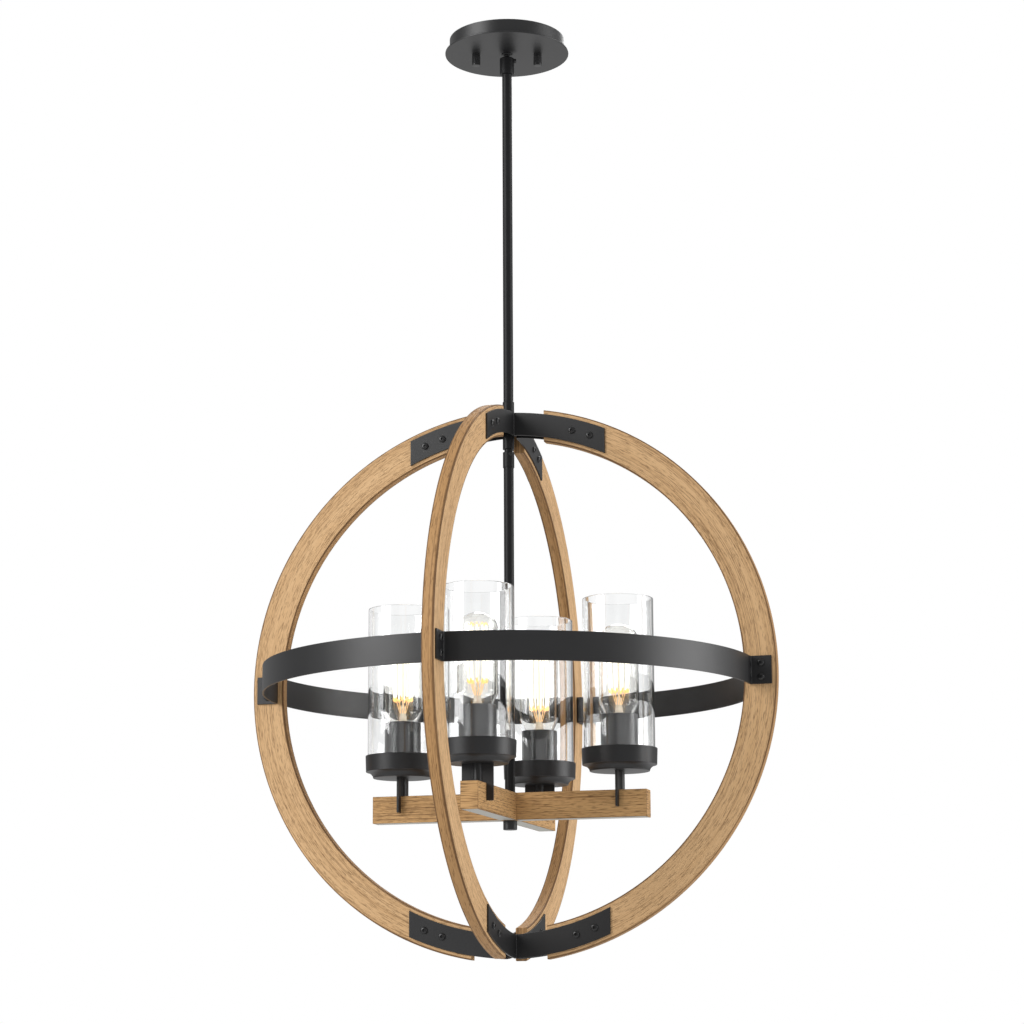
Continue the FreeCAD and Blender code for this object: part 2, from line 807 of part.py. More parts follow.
def build_beam_covers():
    """Four thin strips that close the wire channels."""
    length = (beam_reach - cover_margin - half_beam).value - hole_gap.value
    width = cover_width.value - hole_gap.value
    strip = Part.makeBox(length, width, cover_thickness.value,
                         Vector(half_beam.value + hole_gap.value / 2, -width / 2,
                                (cross_level - beam_height).value))
    turns = [Rotation(Vector(0, 0, 1), QUARTER_TURN * quarter) for quarter in QUARTERS]
    group("beam_covers", [at(strip, Vector(), turn) for turn in turns])


# ---------------------------------------------------------------- lamps

def four_lamps(label, shape):
    """The same piece at each of the four lamps, as one node."""
    turns = [Rotation(Vector(0, 0, 1), QUARTER_TURN * quarter) for quarter in QUARTERS]
    arm = Vector(lamp_radius.value, 0, 0)
    group(label, [at(shape, turn.multVec(arm), turn) for turn in turns])


def build_forks():
    """Forked plates astride the beams, each with a threaded tube up its middle."""
    half = fork_width.value / 2
    slot = half_beam.value
    low = cross_level.value
    foot = low - prong_length.value
    top = low + fork_rise.value
    side = fork_thickness.value / 2
    profile = [(-half, foot), (-slot, foot), (-slot, low), (slot, low),
               (slot, foot), (half, foot), (half, top), (-half, top)]
    corners = [Vector(-side, across, up) for across, up in profile]
    plate = Part.Face(Part.makePolygon(corners + corners[:1])).extrude(Vector(fork_thickness.value, 0, 0))
    tall = (fork_rise + tube_top).value
    tube = Part.makeCylinder(tube_radius.value, tall, Vector(0, 0, low))
    bore = Part.makeCylinder(wire_bore.value, tall, Vector(0, 0, low))
    four_lamps("fork_brackets", plate.fuse(tube).cut(bore))


def build_cup(quarter):
    """Round cup with a flared wall, a rolled rim, a coved foot and a ledge for the glass."""
    level = cross_level + fork_rise
    body = new_body(f"lamp_cup_{RIB_NAMES[quarter]}", level, QUARTER_TURN * quarter, lamp_radius)
    rim = cup_wall / 2
    bore = tube_radius + hole_gap
    inner = cup_radius - cup_wall
    waist = cup_radius - cup_flare
    profile = Outline(bore, ZERO).line(cup_foot_radius - cup_rounding, ZERO)
    profile.arc(cup_foot_radius, cup_rounding, cup_rounding, True)
    profile.arc(waist, cup_cove_height, cup_cove, False)
    profile.line(cup_radius, cup_height - rim)
    profile.arc(cup_radius - rim, cup_height, rim, True)
    profile.line(inner, cup_height).line(inner, cup_seat)
    profile.line(inner - cup_ledge, cup_seat).line(cup_foot_radius - cup_ledge, cup_wall)
    profile.line(bore, cup_wall)
    revolve(body, profile)


def build_socket_covers():
    """Plain sleeves that hide the lamp sockets."""
    low = (cross_level + fork_rise + cup_wall).value
    high = low + socket_cover_height.value
    floor = low + socket_cover_wall.value
    outer = socket_cover_radius.value
    inner = outer - socket_cover_wall.value
    bore = (tube_radius + hole_gap).value
    sleeve = turned_solid([(bore, low), (outer, low), (outer, high),
                           (inner, high), (inner, floor), (bore, floor)])
    four_lamps("socket_covers", sleeve)


def build_sockets():
    """Four lamp sockets, each screwed on its bracket's tube inside the cover."""
    base = (cross_level + fork_rise + cup_wall + socket_cover_wall).value
    floor = base + socket_floor.value
    top = floor + (cap_length - socket_rim_gap).value
    tube_end = (cross_level + fork_rise + tube_top).value
    bore = (cap_radius + running_gap).value
    outer = socket_radius.value
    thread = tube_radius.value
    socket = turned_solid([(0, tube_end), (thread, tube_end), (thread, base), (outer, base),
                           (outer, top), (bore, top), (bore, floor), (0, floor)])
    four_lamps("lamp_sockets", socket)


def lamp_base():
    """Level of a seated lamp's tip."""
    return cross_level + fork_rise + cup_wall + socket_cover_wall + socket_floor + running_gap


def build_bulb(quarter):
    """Thin glass of a tubular lamp: neck, taper, straight wall and rounded crown."""
    level = lamp_base() + cap_length + cap_taper
    body = new_body(f"bulb_{RIB_NAMES[quarter]}", level, QUARTER_TURN * quarter, lamp_radius)
    taper_start = bulb_neck_length - cap_taper
    taper_end = taper_start + bulb_taper
    top = bulb_height - cap_length - cap_taper
    crown = top - bulb_dome
    crown_radius = (bulb_radius * bulb_radius + bulb_dome * bulb_dome) / (bulb_dome * 2)
    inner_radius = bulb_radius - bulb_wall
    inner_neck = bulb_neck_radius - bulb_wall
    inner_crown_radius = crown_radius - bulb_wall
    inner_crown = top - crown_radius + on_circle(inner_crown_radius, inner_radius)
    profile = Outline(inner_neck, ZERO).line(bulb_neck_radius, ZERO)
    profile.line(bulb_neck_radius, taper_start).line(bulb_radius, taper_end)
    profile.line(bulb_radius, crown)
    profile.arc(ZERO, top, crown_radius, True)
    profile.line(ZERO, top - bulb_wall)
    profile.arc(inner_radius, inner_crown, inner_crown_radius, False)
    profile.line(inner_radius, taper_end).line(inner_neck, taper_start)
    revolve(body, profile)


def lamp_core():
    """Screw cap with its rolled thread, and the glass mount that carries the filaments."""
    crest = cap_radius.value
    valley = crest - thread_depth.value
    thread_start = (cap_taper + thread_margin).value
    thread_end = (cap_length - thread_margin).value
    turns = round(thread_turns.value)
    pitch = (thread_end - thread_start) / turns
    shoulder = (cap_length + cap_taper).value
    skirt_radius = (bulb_neck_radius - bulb_wall - mount_gap).value
    skirt_top = shoulder + mount_skirt.value
    mount_top = shoulder + mount_height.value
    post = post_radius.value
    post_top = shoulder + post_height.value
    points = [(0, 0), (crest - cap_taper.value, 0), (crest, cap_taper.value)]
    for turn in range(turns):
        points.append((crest, thread_start + pitch * turn))
        points.append((valley, thread_start + pitch * (turn + 0.5)))
    points += [(crest, thread_end), (crest, cap_length.value), (bulb_neck_radius.value, shoulder),
               (skirt_radius, shoulder), (skirt_radius, skirt_top),
               (mount_radius.value, shoulder + mount_flare_height.value), (mount_radius.value, mount_top),
               (post, mount_top + mount_tip_height.value), (post, post_top), (0, post_top)]
    core = turned_solid(points)
    return core.fuse(filaments(shoulder + filament_start.value)).removeSplitter()


def filaments(low):
    """Ring of upright filaments, each held by a spoke at both ends."""
    ring = filament_ring_radius.value
    tall = filament_length.value
    foot = Vector(ring, 0, low)
    upright = Part.makeCylinder(filament_radius.value, tall, foot, Vector(0, 0, 1))
    for height in (low + filament_radius.value, low + tall - filament_radius.value):
        spoke = Part.makeCylinder(spoke_radius.value, ring, Vector(0, 0, height), Vector(1, 0, 0))
        upright = upright.fuse(spoke)
    count = round(filament_count.value)
    turns = [Rotation(Vector(0, 0, 1), 360.0 * step / count) for step in range(count)]
    return [at(upright, Vector(), turn) for turn in turns]


def build_lamp_cores():
    """One core for each lamp."""
    core = lamp_core()
    for quarter in QUARTERS:
        turn = Rotation(Vector(0, 0, 1), QUARTER_TURN * quarter)
        spot = turn.multVec(Vector(lamp_radius.value, 0, 0)) + Vector(0, 0, lamp_base().value)
        group(f"lamp_core_{RIB_NAMES[quarter]}", [at(core, spot, turn)])


def build_shade(quarter):
    """Open glass cylinder that stands on the cup's ledge."""
    level = cross_level + fork_rise + cup_seat
    turned_ring(f"glass_shade_{RIB_NAMES[quarter]}", shade_radius - shade_wall, shade_radius,
                ZERO, shade_height, level, QUARTER_TURN * quarter, lamp_radius)


# ---------------------------------------------------------------- assembly

def build_all():
    build_ceiling_strap()
    build_canopy_pan()
    build_canopy_fasteners()
    build_canopy_swivel()
    build_rod()
    build_hub()
    build_knuckle()
    build_lower_rod()
    build_finial()
    for quarter in QUARTERS:
        build_rib(quarter)
        build_plate(f"top_plate_{CORNER_NAMES[quarter]}", quarter, False)
        build_plate(f"bottom_plate_{CORNER_NAMES[quarter]}", quarter, True)
        build_band(quarter)
    build_bolts()
    build_beam("cross_beam_left_right", 0.0, True)
    build_beam("cross_beam_front_back", QUARTER_TURN, False)
    build_beam_covers()
    for quarter in QUARTERS:
        build_cup(quarter)
        build_bulb(quarter)
        build_shade(quarter)
    build_forks()
    build_socket_covers()
    build_sockets()
    build_lamp_cores()


def is_subpart(item):
    return item.TypeId == "PartDesign::Body" or item.TypeId == "Part::Feature"


def write_parts():
    """Check every object and write one STEP file for each sub-part."""
    os.makedirs("parts", exist_ok=True)
    for item in DOC.Objects:
        broken = [state for state in item.State if state in ("Invalid", "Error")]
        if broken:
            raise RuntimeError(f"{item.Label} did not build: {broken}")
    subparts = [item for item in DOC.Objects if is_subpart(item)]
    for item in subparts:
        if item.Shape.isNull() or not item.Shape.isValid():
            raise RuntimeError(f"{item.Label} is not a valid solid")
        item.Shape.exportStep(f"parts/{item.Label}.step")
    print(len(subparts), "sub-parts written")


build_all()
DOC.recompute()
write_parts()
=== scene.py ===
"""Looks of the orb chandelier: oak ribs, black steel, clear glass and filament lamps."""

import logging
import math
from contextlib import contextmanager
from dataclasses import dataclass, field
from enum import Enum
from typing import Any, Iterable, Iterator, Sequence

import bmesh
import bpy
from mathutils import Matrix, Vector


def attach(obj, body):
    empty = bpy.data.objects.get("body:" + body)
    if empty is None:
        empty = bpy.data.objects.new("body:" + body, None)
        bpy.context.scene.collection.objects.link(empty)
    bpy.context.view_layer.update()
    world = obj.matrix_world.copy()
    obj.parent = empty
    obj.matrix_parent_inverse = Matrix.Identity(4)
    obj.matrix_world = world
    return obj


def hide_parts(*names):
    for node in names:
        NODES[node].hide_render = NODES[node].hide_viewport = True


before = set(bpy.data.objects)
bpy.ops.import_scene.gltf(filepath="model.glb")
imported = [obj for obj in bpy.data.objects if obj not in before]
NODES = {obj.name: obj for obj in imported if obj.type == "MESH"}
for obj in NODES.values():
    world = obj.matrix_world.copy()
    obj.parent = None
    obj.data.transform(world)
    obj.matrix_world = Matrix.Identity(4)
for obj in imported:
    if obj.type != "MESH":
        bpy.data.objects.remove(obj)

LOG = logging.getLogger("orb_chandelier")
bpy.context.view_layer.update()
QUARTER = math.pi / 2
ROUND = 2 * math.pi
SIDES = ("right", "back", "left", "front")
CORNERS = ("back_right", "back_left", "front_left", "front_right")
WHITE = (1.0, 1.0, 1.0)
ON_AXIS = 1e-7
NODE_MERGE = 2e-6
FLAT_ANGLE = math.radians(0.6)
SHARP_ANGLE = math.radians(42.0)
SMALL_EDGE = 0.0003
Flat = tuple[float, float]
Colour = tuple[float, float, float]
Stops = Sequence[tuple[float, Any]]
Spots = Sequence[tuple[Vector, Vector]]


class Body(Enum):
    """The shared bodies that pieces ride on; each lamp and shade has its own as well."""

    CANOPY = "canopy"
    ORB = "orb"
    CROSS = "lamp_cross"


class Slot(Enum):
    """The record's material slots."""

    BLACK = "black_steel"
    ZINC = "zinc_steel"
    OAK = "oak"
    GLASS = "clear_glass"
    LAMP = "bulb_glass"


# ------------------------------------------------------------------ node trees


class Wire:
    """One output socket of a node tree, used in Python expressions."""

    def __init__(self, graph: "Graph", socket: bpy.types.NodeSocket) -> None:
        """Keep the tree and the socket."""
        self.graph = graph
        self.socket = socket

    def maths(self, operation: str, *others: Any) -> "Wire":
        """Add one Math node on this wire and further wires or numbers."""
        operands = dict(enumerate((self, *others)))
        return self.graph.add("ShaderNodeMath", {"operation": operation}, operands)

    def __add__(self, other: Any) -> "Wire":
        """Sum."""
        return self.maths("ADD", other)

    __radd__ = __add__

    def __mul__(self, other: Any) -> "Wire":
        """Product."""
        return self.maths("MULTIPLY", other)

    def __sub__(self, other: Any) -> "Wire":
        """Difference."""
        return self.maths("SUBTRACT", other)

    def __rsub__(self, other: float) -> "Wire":
        """Difference with a number on the left."""
        return (self * -1.0) + other

    def __truediv__(self, other: Any) -> "Wire":
        """Quotient."""
        return self.maths("DIVIDE", other)

    def clamped(self) -> "Wire":
        """The value held between 0 and 1."""
        return self.maths("MAXIMUM", 0.0).maths("MINIMUM", 1.0)


class Graph:
    """A node tree with one method that makes nodes."""

    def __init__(self, tree: bpy.types.NodeTree) -> None:
        """Keep the tree that nodes are added to."""
        self.tree = tree

    def make(self, kind: str, settings: dict[str, Any] | None = None,
             inputs: dict[Any, Any] | None = None) -> bpy.types.Node:
        """Add one node.

        Args:
            kind: The node's type.
            settings: Properties set before the sockets; "stops" fills a colour ramp.
            inputs: Socket name or number to a value or a wire.

        Returns:
            The new node.
        """
        node = self.tree.nodes.new(kind)
        for name, value in (settings or {}).items():
            if name == "stops":
                self.fill_ramp(node.color_ramp, value)
            else:
                setattr(node, name, value)
        for name, value in (inputs or {}).items():
            socket = node.inputs[name]
            if isinstance(value, Wire):
                self.tree.links.new(value.socket, socket)
            else:
                socket.default_value = value
        return node

    def add(self, kind: str, settings: dict[str, Any] | None = None,
            inputs: dict[Any, Any] | None = None, output: Any = 0) -> Wire:
        """Add one node and give back one of its outputs, by name or number."""
        return Wire(self, self.make(kind, settings, inputs).outputs[output])

    @staticmethod
    def fill_ramp(ramp: bpy.types.ColorRamp, stops: Stops) -> None:
        """Set a ramp's stops, each a position and a grey level or a colour."""
        while len(ramp.elements) < len(stops):
            ramp.elements.new(1.0)
        for element, (position, tone) in zip(ramp.elements, stops):
            colour = (tone, tone, tone) if isinstance(tone, (int, float)) else tone
            element.position = position
            element.color = (*colour, 1.0)

    def place(self) -> Wire:
        """The place on the piece, in metres."""
        return self.add("ShaderNodeTexCoord", None, None, "Object")

    def attribute(self, name: str) -> Wire:
        """A number stored on the mesh."""
        return self.add("ShaderNodeAttribute", {"attribute_name": name}, None, "Fac")

    def noise(self, where: Wire, scale: float, detail: float = 2.0, rough: float = 0.5) -> Wire:
        """Noise between 0 and 1.

        Args:
            where: The place it is read at.
            scale: Waves per unit of that place.
            detail: Octaves.
            rough: Weight of the finer octaves.

        Returns:
            The noise value.
        """
        sizes = {"Vector": where, "Scale": scale, "Detail": detail, "Roughness": rough}
        return self.add("ShaderNodeTexNoise", {"noise_dimensions": "3D"}, sizes, "Fac")

    def grain(self, where: Wire, scale: Colour, detail: float = 2.0, rough: float = 0.5) -> Wire:
        """Noise with its own scale along each axis."""
        placed = self.add("ShaderNodeMapping", None, {"Vector": where, "Scale": scale})
        return self.noise(placed, 1.0, detail, rough)

    def ramp(self, value: Wire, stops: Stops) -> Wire:
        """Colour ramp over a value, from stops of (position, tone)."""
        return self.add("ShaderNodeValToRGB", {"stops": stops}, {"Fac": value})

    def mix(self, factor: Any, first: Any, second: Any, blend: str = "MIX") -> Wire:
        """Mix two colours.

        Args:
            factor: How much of the second.
            first: First colour, as a wire or three numbers.
            second: Second colour, likewise.
            blend: The Mix node's blend type.

        Returns:
            The mixed colour.
        """
        settings = {"data_type": "RGBA", "blend_type": blend}
        inputs = {0: factor, 6: four(first), 7: four(second)}
        return self.add("ShaderNodeMix", settings, inputs, 2)

    def bump(self, height: Wire, distance: float, strength: float = 0.5) -> Wire:
        """Normal from a height in metres."""
        return self.add("ShaderNodeBump", None,
                        {"Height": height, "Distance": distance, "Strength": strength})

    def principled(self, inputs: dict[str, Any]) -> bpy.types.Node:
        """The surface shader."""
        return self.make("ShaderNodeBsdfPrincipled", None, inputs)


def four(colour: Any) -> Any:
    """A colour of three numbers with its alpha; a wire stays as it is."""
    return colour if isinstance(colour, Wire) else (*colour, 1.0)


def darker(colour: Colour, share: float) -> Colour:
    """A colour at a share of its level."""
    return tuple(part * share for part in colour)


# ------------------------------------------------------------------ finishes


@dataclass(frozen=True)
class Finish:
    """Base of every finish: its name, its slot and the shader it builds."""

    name: str
    slot: Slot = Slot.BLACK

    def surface(self, graph: Graph) -> bpy.types.Node:
        """Build the shader in a material's tree and give back its last node."""
        raise NotImplementedError(self.name)

    def material(self) -> bpy.types.Material:
        """The finished material, made once."""
        known = bpy.data.materials.get(self.name)
        if known:
            return known
        made = bpy.data.materials.new(self.name)
        made.use_nodes = True
        made.node_tree.nodes.clear()
        graph = Graph(made.node_tree)
        shader = self.surface(graph)
        output = graph.make("ShaderNodeOutputMaterial")
        made.node_tree.links.new(shader.outputs[0], output.inputs["Surface"])
        return made


@dataclass(frozen=True)
class Oak(Finish):
    """Light oak with open pores along the grain, darker rubbed edges, and painted shade that darkens
    and warms its narrow faces.
    """

    slot: Slot = Slot.OAK
    pale: Colour = (0.675, 0.440, 0.228)
    warm: Colour = (0.55, 0.328, 0.148)
    pore: Colour = (0.12, 0.060, 0.026)
    edge: Colour = (0.13, 0.066, 0.026)
    # Painted shade: the narrow faces are darkened to side_shade and tinted warm by the green and blue
    # shares, whatever the light.
    side_shade: float = 0.76
    side_green: float = 0.89
    side_blue: float = 0.74
    copy_lift: float = 3.7
    wander_scale: Colour = (7.0, 24.0, 1.0)
    band_scale: Colour = (3.0, 90.0, 1.0)
    line_scale: Colour = (5.0, 1000.0, 1.0)
    pore_length: float = 115.0
    pore_width: float = 1500.0
    line_strength: float = 0.34
    pore_strength: float = 0.60
    contrast: float = 1.0
    roughness: float = 0.55
    pore_roughness: float = 0.2
    pore_depth: float = 0.00025
    specular: float = 0.25

    def surface(self, graph: Graph) -> bpy.types.Node:
        """Grain runs along U, in metres; V goes round the section."""
        uv = graph.add("ShaderNodeUVMap", {"uv_map": "grain"})
        shift = graph.attribute("copy_shift")
        offset = graph.add("ShaderNodeCombineXYZ", None,
                           {"X": shift, "Y": shift * self.copy_lift, "Z": shift})
        place = graph.add("ShaderNodeVectorMath", {"operation": "ADD"}, {0: uv, 1: offset})
        wander = graph.grain(place, self.wander_scale)
        bands = graph.grain(place, self.band_scale, 3.0, 0.55)
        lines = graph.grain(place, self.line_scale)
        pores = graph.grain(place, (self.pore_length, self.pore_width, 1.0), 1.0, 0.6)
        density = graph.ramp(bands, [(0.30, 0.0), (0.70, 0.035)])
        pore_mask = graph.ramp(pores + density, [(0.56, 0.0), (0.70, 1.0)])
        line_mask = graph.ramp(lines + density, [(0.56, 0.0), (0.66, 1.0)])
        figure = graph.ramp(bands * 0.5 + lines * 0.5, [(0.34, 0.0), (0.74, 1.0)])
        tone = graph.mix(figure, self.pale, self.warm)
        tone = graph.mix(graph.ramp(wander, [(0.3, 0.0), (0.8, 0.3)]), tone, self.warm)
        tone = graph.mix(line_mask * (self.line_strength * self.contrast), tone, self.pore)
        tone = graph.mix(pore_mask * (self.pore_strength * self.contrast), tone, self.pore)
        # Painted shade and painted warm bounce light on the faces this attribute marks.
        side = graph.attribute("grain_side")
        shade = 1.0 - side * (1.0 - self.side_shade)
        painted_shade_tint = graph.add("ShaderNodeCombineColor", None, {
            "Red": shade, "Green": shade * self.side_green, "Blue": shade * self.side_blue})
        tone = graph.mix(side.clamped(), tone, graph.mix(1.0, tone, painted_shade_tint, "MULTIPLY"))
        rim = graph.attribute("grain_rim")
        wear_on_rim = rim + (wander - 0.5) * 0.8 + (lines - 0.5) * 0.7
        tone = graph.mix(graph.ramp(wear_on_rim, [(0.62, 0.0), (1.0, 0.85)]), tone, self.edge)
        rough = self.roughness + pore_mask * self.pore_roughness
        return graph.principled({
            "Base Color": tone, "Roughness": rough, "Specular IOR Level": self.specular,
            "Normal": graph.bump(1.0 - pore_mask, self.pore_depth)})


@dataclass(frozen=True)
class PowderCoat(Finish):
    """Baked black coat with faint cloudiness and a fine orange-peel skin."""

    tone: Colour = (0.010, 0.010, 0.0105)
    lift: Colour = (0.015, 0.015, 0.016)
    roughness: float = 0.40
    spread: float = 0.06
    specular: float = 0.52
    cloud_scale: float = 22.0
    peel_scale: float = 1400.0
    peel_spread: float = 0.05
    peel_depth: float = 0.00004

    def surface(self, graph: Graph) -> bpy.types.Node:
        """Cloudy black, and a bump of fine peel."""
        place = graph.place()
        cloud = graph.noise(place, self.cloud_scale, 3.0, 0.6)
        peel = graph.noise(place, self.peel_scale, 2.0, 0.6)
        tone = graph.mix(cloud, self.tone, self.lift)
        rough = (cloud - 0.5) * self.spread + (peel - 0.5) * self.peel_spread + self.roughness
        return graph.principled({
            "Base Color": tone, "Roughness": rough, "Specular IOR Level": self.specular,
            "Normal": graph.bump(peel, self.peel_depth)})


@dataclass(frozen=True)
class BareMetal(Finish):
    """Plated or drawn metal with fine scratches."""

    slot: Slot = Slot.ZINC
    tone: Colour = (0.6, 0.6, 0.61)
    roughness: float = 0.32
    spread: float = 0.2
    streak_scale: Colour = (40.0, 40.0, 900.0)

    def surface(self, graph: Graph) -> bpy.types.Node:
        """Metal whose roughness follows fine streaks."""
        streak = graph.grain(graph.place(), self.streak_scale, 3.0, 0.6)
        return graph.principled({
            "Base Color": graph.mix(streak * 0.3, self.tone, darker(self.tone, 0.7)),
            "Metallic": 1.0, "Roughness": (streak - 0.5) * self.spread + self.roughness})


@dataclass(frozen=True)
class ClearGlass(Finish):
    """Clear glass with walls of its own thickness."""

    slot: Slot = Slot.LAMP
    tint: Colour = (0.972, 0.977, 0.977)
    ior: float = 1.5
    roughness: float = 0.0
    milk: float = 0.0
    # Emission in the tint: painted light, for glass that the lit filaments make bright.
    glow: float = 0.0
    wave_scale: Colour = (14.0, 14.0, 3.0)
    wave_depth: float = 0.00006
    wave_strength: float = 0.2

    def surface(self, graph: Graph) -> bpy.types.Node:
        """Refracting glass, with the faintest waviness and, where glow is set, a painted glow."""
        wave = graph.grain(graph.place(), self.wave_scale, 0.0)
        return graph.principled({
            "Base Color": four(self.tint), "Roughness": self.roughness, "IOR": self.ior,
            "Transmission Weight": 1.0 - self.milk, "Emission Color": four(self.tint),
            "Emission Strength": self.glow,
            "Normal": graph.bump(wave, self.wave_depth, self.wave_strength)})


@dataclass(frozen=True)
class LitFilament(Finish):
    """Coated wire that glows warm, with a fine grain; on the hooks and support wires the glow is
    painted light.
    """

    slot: Slot = Slot.LAMP
    glow: Colour = (1.0, 0.93, 0.76)
    tone: Colour = (1.0, 0.96, 0.86)
    strength: float = 1.5
    roughness: float = 0.6
    grain_scale: float = 900.0

    def surface(self, graph: Graph) -> bpy.types.Node:
        """Phosphor grain with a warm glow."""
        grain = graph.noise(graph.place(), self.grain_scale)
        return graph.principled({
            "Base Color": graph.mix(grain, self.tone, self.glow), "Roughness": self.roughness,
            "Emission Color": graph.mix(grain * 0.5, self.glow, self.tone),
            "Emission Strength": self.strength})


@dataclass(frozen=True)
class Plastic(Finish):
    """Moulded plastic with a fine grain."""

    tone: Colour = (0.05, 0.05, 0.05)
    roughness: float = 0.5
    spread: float = 0.15
    grain_scale: float = 700.0
    cloud_scale: float = 25.0
    grain_depth: float = 0.00004

    def surface(self, graph: Graph) -> bpy.types.Node:
        """Plain colour with a moulded grain."""
        place = graph.place()
        grain = graph.noise(place, self.grain_scale)
        cloud = graph.noise(place, self.cloud_scale)
        return graph.principled({
            "Base Color": graph.mix(cloud, self.tone, darker(self.tone, 0.85)),
            "Roughness": (grain - 0.5) * self.spread + self.roughness,
            "Normal": graph.bump(grain, self.grain_depth)})


OAK = Oak("light_oak")
BEAM_OAK = Oak("beam_oak", pale=(0.64, 0.390, 0.170), warm=(0.49, 0.268, 0.100),
               pore_length=80.0, contrast=1.6)
BLACK = PowderCoat("black_powder_coat")
BLACK_SOFT = PowderCoat("black_powder_coat_rods", roughness=0.42, spread=0.0, specular=0.16)
SCREW = PowderCoat("black_screw_coat", roughness=0.30, spread=0.0, specular=0.5)
SOOT = PowderCoat("lamp_cover_coat", tone=(0.036, 0.036, 0.037), lift=(0.046, 0.046, 0.047),
                  roughness=0.30, specular=0.85)
ZINC = BareMetal("zinc_plate")
NICKEL = BareMetal("lamp_cap_nickel", tone=(0.66, 0.64, 0.60), roughness=0.25)
LEAD = BareMetal("lead_wire", tone=(0.72, 0.42, 0.26), roughness=0.3)
GLASS = ClearGlass("clear_shade_glass", Slot.GLASS)
LAMP_GLASS = ClearGlass("lamp_envelope_glass", tint=(0.985, 0.98, 0.96), ior=1.47)
# The stem's glow is painted light: the stem gives no light, the filaments round it light it.
STEM_GLASS = ClearGlass("lamp_stem_glass", tint=(1.0, 0.92, 0.78), roughness=0.12, milk=0.5,
                        glow=0.20)
GLOW = LitFilament("lit_filament")
# The hooks and support wires give no light; their glow is painted light standing in for the filaments'
# light on them.
HOOK_PAINTED_GLOW = LitFilament("hook_glow", glow=(1.0, 0.58, 0.18), tone=(1.0, 0.74, 0.36), strength=1.1)
WIRE_PAINTED_GLOW = LitFilament("support_wire", Slot.ZINC, glow=(0.90, 0.55, 0.24),
                        tone=(1.0, 0.74, 0.42), strength=0.75)
SOCKET = Plastic("socket_phenolic")
COVER = Plastic("grey_cover_strip", tone=(0.55, 0.54, 0.485), roughness=0.42)


# ------------------------------------------------------------------ mesh making


@dataclass
class MeshParts:
    """Vertices, faces, the grain laid on them and their share of painted shade, gathered before the
    mesh is made.
    """

    vertices: list[Vector] = field(default_factory=list)
    faces: list[tuple[int, ...]] = field(default_factory=list)
    corners: list[Sequence[Flat]] = field(default_factory=list)
    # Each face's share of painted shade, which darkens and warms the rib's narrow faces.
    sides: list[float] = field(default_factory=list)
    rims: list[Sequence[float]] = field(default_factory=list)

    def mesh(self, name: str) -> bpy.types.Mesh:
        """The mesh, with its UV map and attributes where faces carry them."""
        mesh = bpy.data.meshes.new(name)
        mesh.from_pydata([tuple(vertex) for vertex in self.vertices], [], self.faces)
        if self.corners:
            self.lay_grain(mesh)
        mesh.update()
        return mesh

    def lay_grain(self, mesh: bpy.types.Mesh) -> None:
        """Write the grain's UV map, and the painted side shade and rim attributes, of a mesh."""
        mesh.uv_layers.new(name="grain")
        mesh.attributes.new("grain_side", "FLOAT", "CORNER")
        mesh.attributes.new("grain_rim", "FLOAT", "CORNER")
        places = [part for face in self.corners for corner in face for part in corner]
        shades = [side for side, face in zip(self.sides, self.corners) for _ in face]
        rims = [rim for face in self.rims for rim in face]
        mesh.uv_layers["grain"].uv.foreach_set("vector", places)
        mesh.attributes["grain_side"].data.foreach_set("value", shades)
        mesh.attributes["grain_rim"].data.foreach_set("value", rims)

    def strip(self, low: Sequence[int], high: Sequence[int]) -> None:
        """Faces between two closed rings of vertices."""
        for step, here in enumerate(low):
            after = (step + 1) % len(low)
            self.faces.append((here, low[after], high[after], high[step]))


def polar(radius: float, angle: float) -> Flat:
    """A point on a circle about the origin."""
    return radius * math.cos(angle), radius * math.sin(angle)


def arc(radius: float, first: float, last: float, steps: int) -> list[Flat]:
    """Points round an arc about the origin, with both of its ends."""
    return [polar(radius, first + (last - first) * step / steps) for step in range(steps + 1)]


def spun(angle: float, axis: str = "Z") -> Matrix:
    """A turn about one axis."""
    return Matrix.Rotation(angle, 4, axis)


def rounded(points: Sequence[tuple[float, ...]], steps: int = 4) -> list[Flat]:
    """Round the corners of a closed outline.

    Args:
        points: (across, up) or (across, up, radius) for each corner.
        steps: Segments in each rounded corner.

    Returns:
        The outline with each corner of a given radius turned into a short arc.
    """
    outline: list[Flat] = []
    for index, point in enumerate(points):
        corner = Vector(point[:2])
        radius = point[2] if len(point) > 2 else 0.0
        back = Vector(points[index - 1][:2]) - corner
        ahead = Vector(points[(index + 1) % len(points)][:2]) - corner
        if radius <= 0.0 or back.length == 0.0 or ahead.length == 0.0:
            outline.append((corner.x, corner.y))
            continue
        half = back.angle(ahead) / 2
        reach = min(radius / math.tan(half), back.length * 0.5, ahead.length * 0.5)
        back.normalize()
        ahead.normalize()
        centre = corner + (back + ahead).normalized() * (reach / math.cos(half))
        first, last = corner + back * reach - centre, corner + ahead * reach - centre
        sweep = first.angle_signed(last)
        for step in range(steps + 1):
            spot = centre + Matrix.Rotation(-sweep * step / steps, 2) @ first
            outline.append((spot.x, spot.y))
    return outline


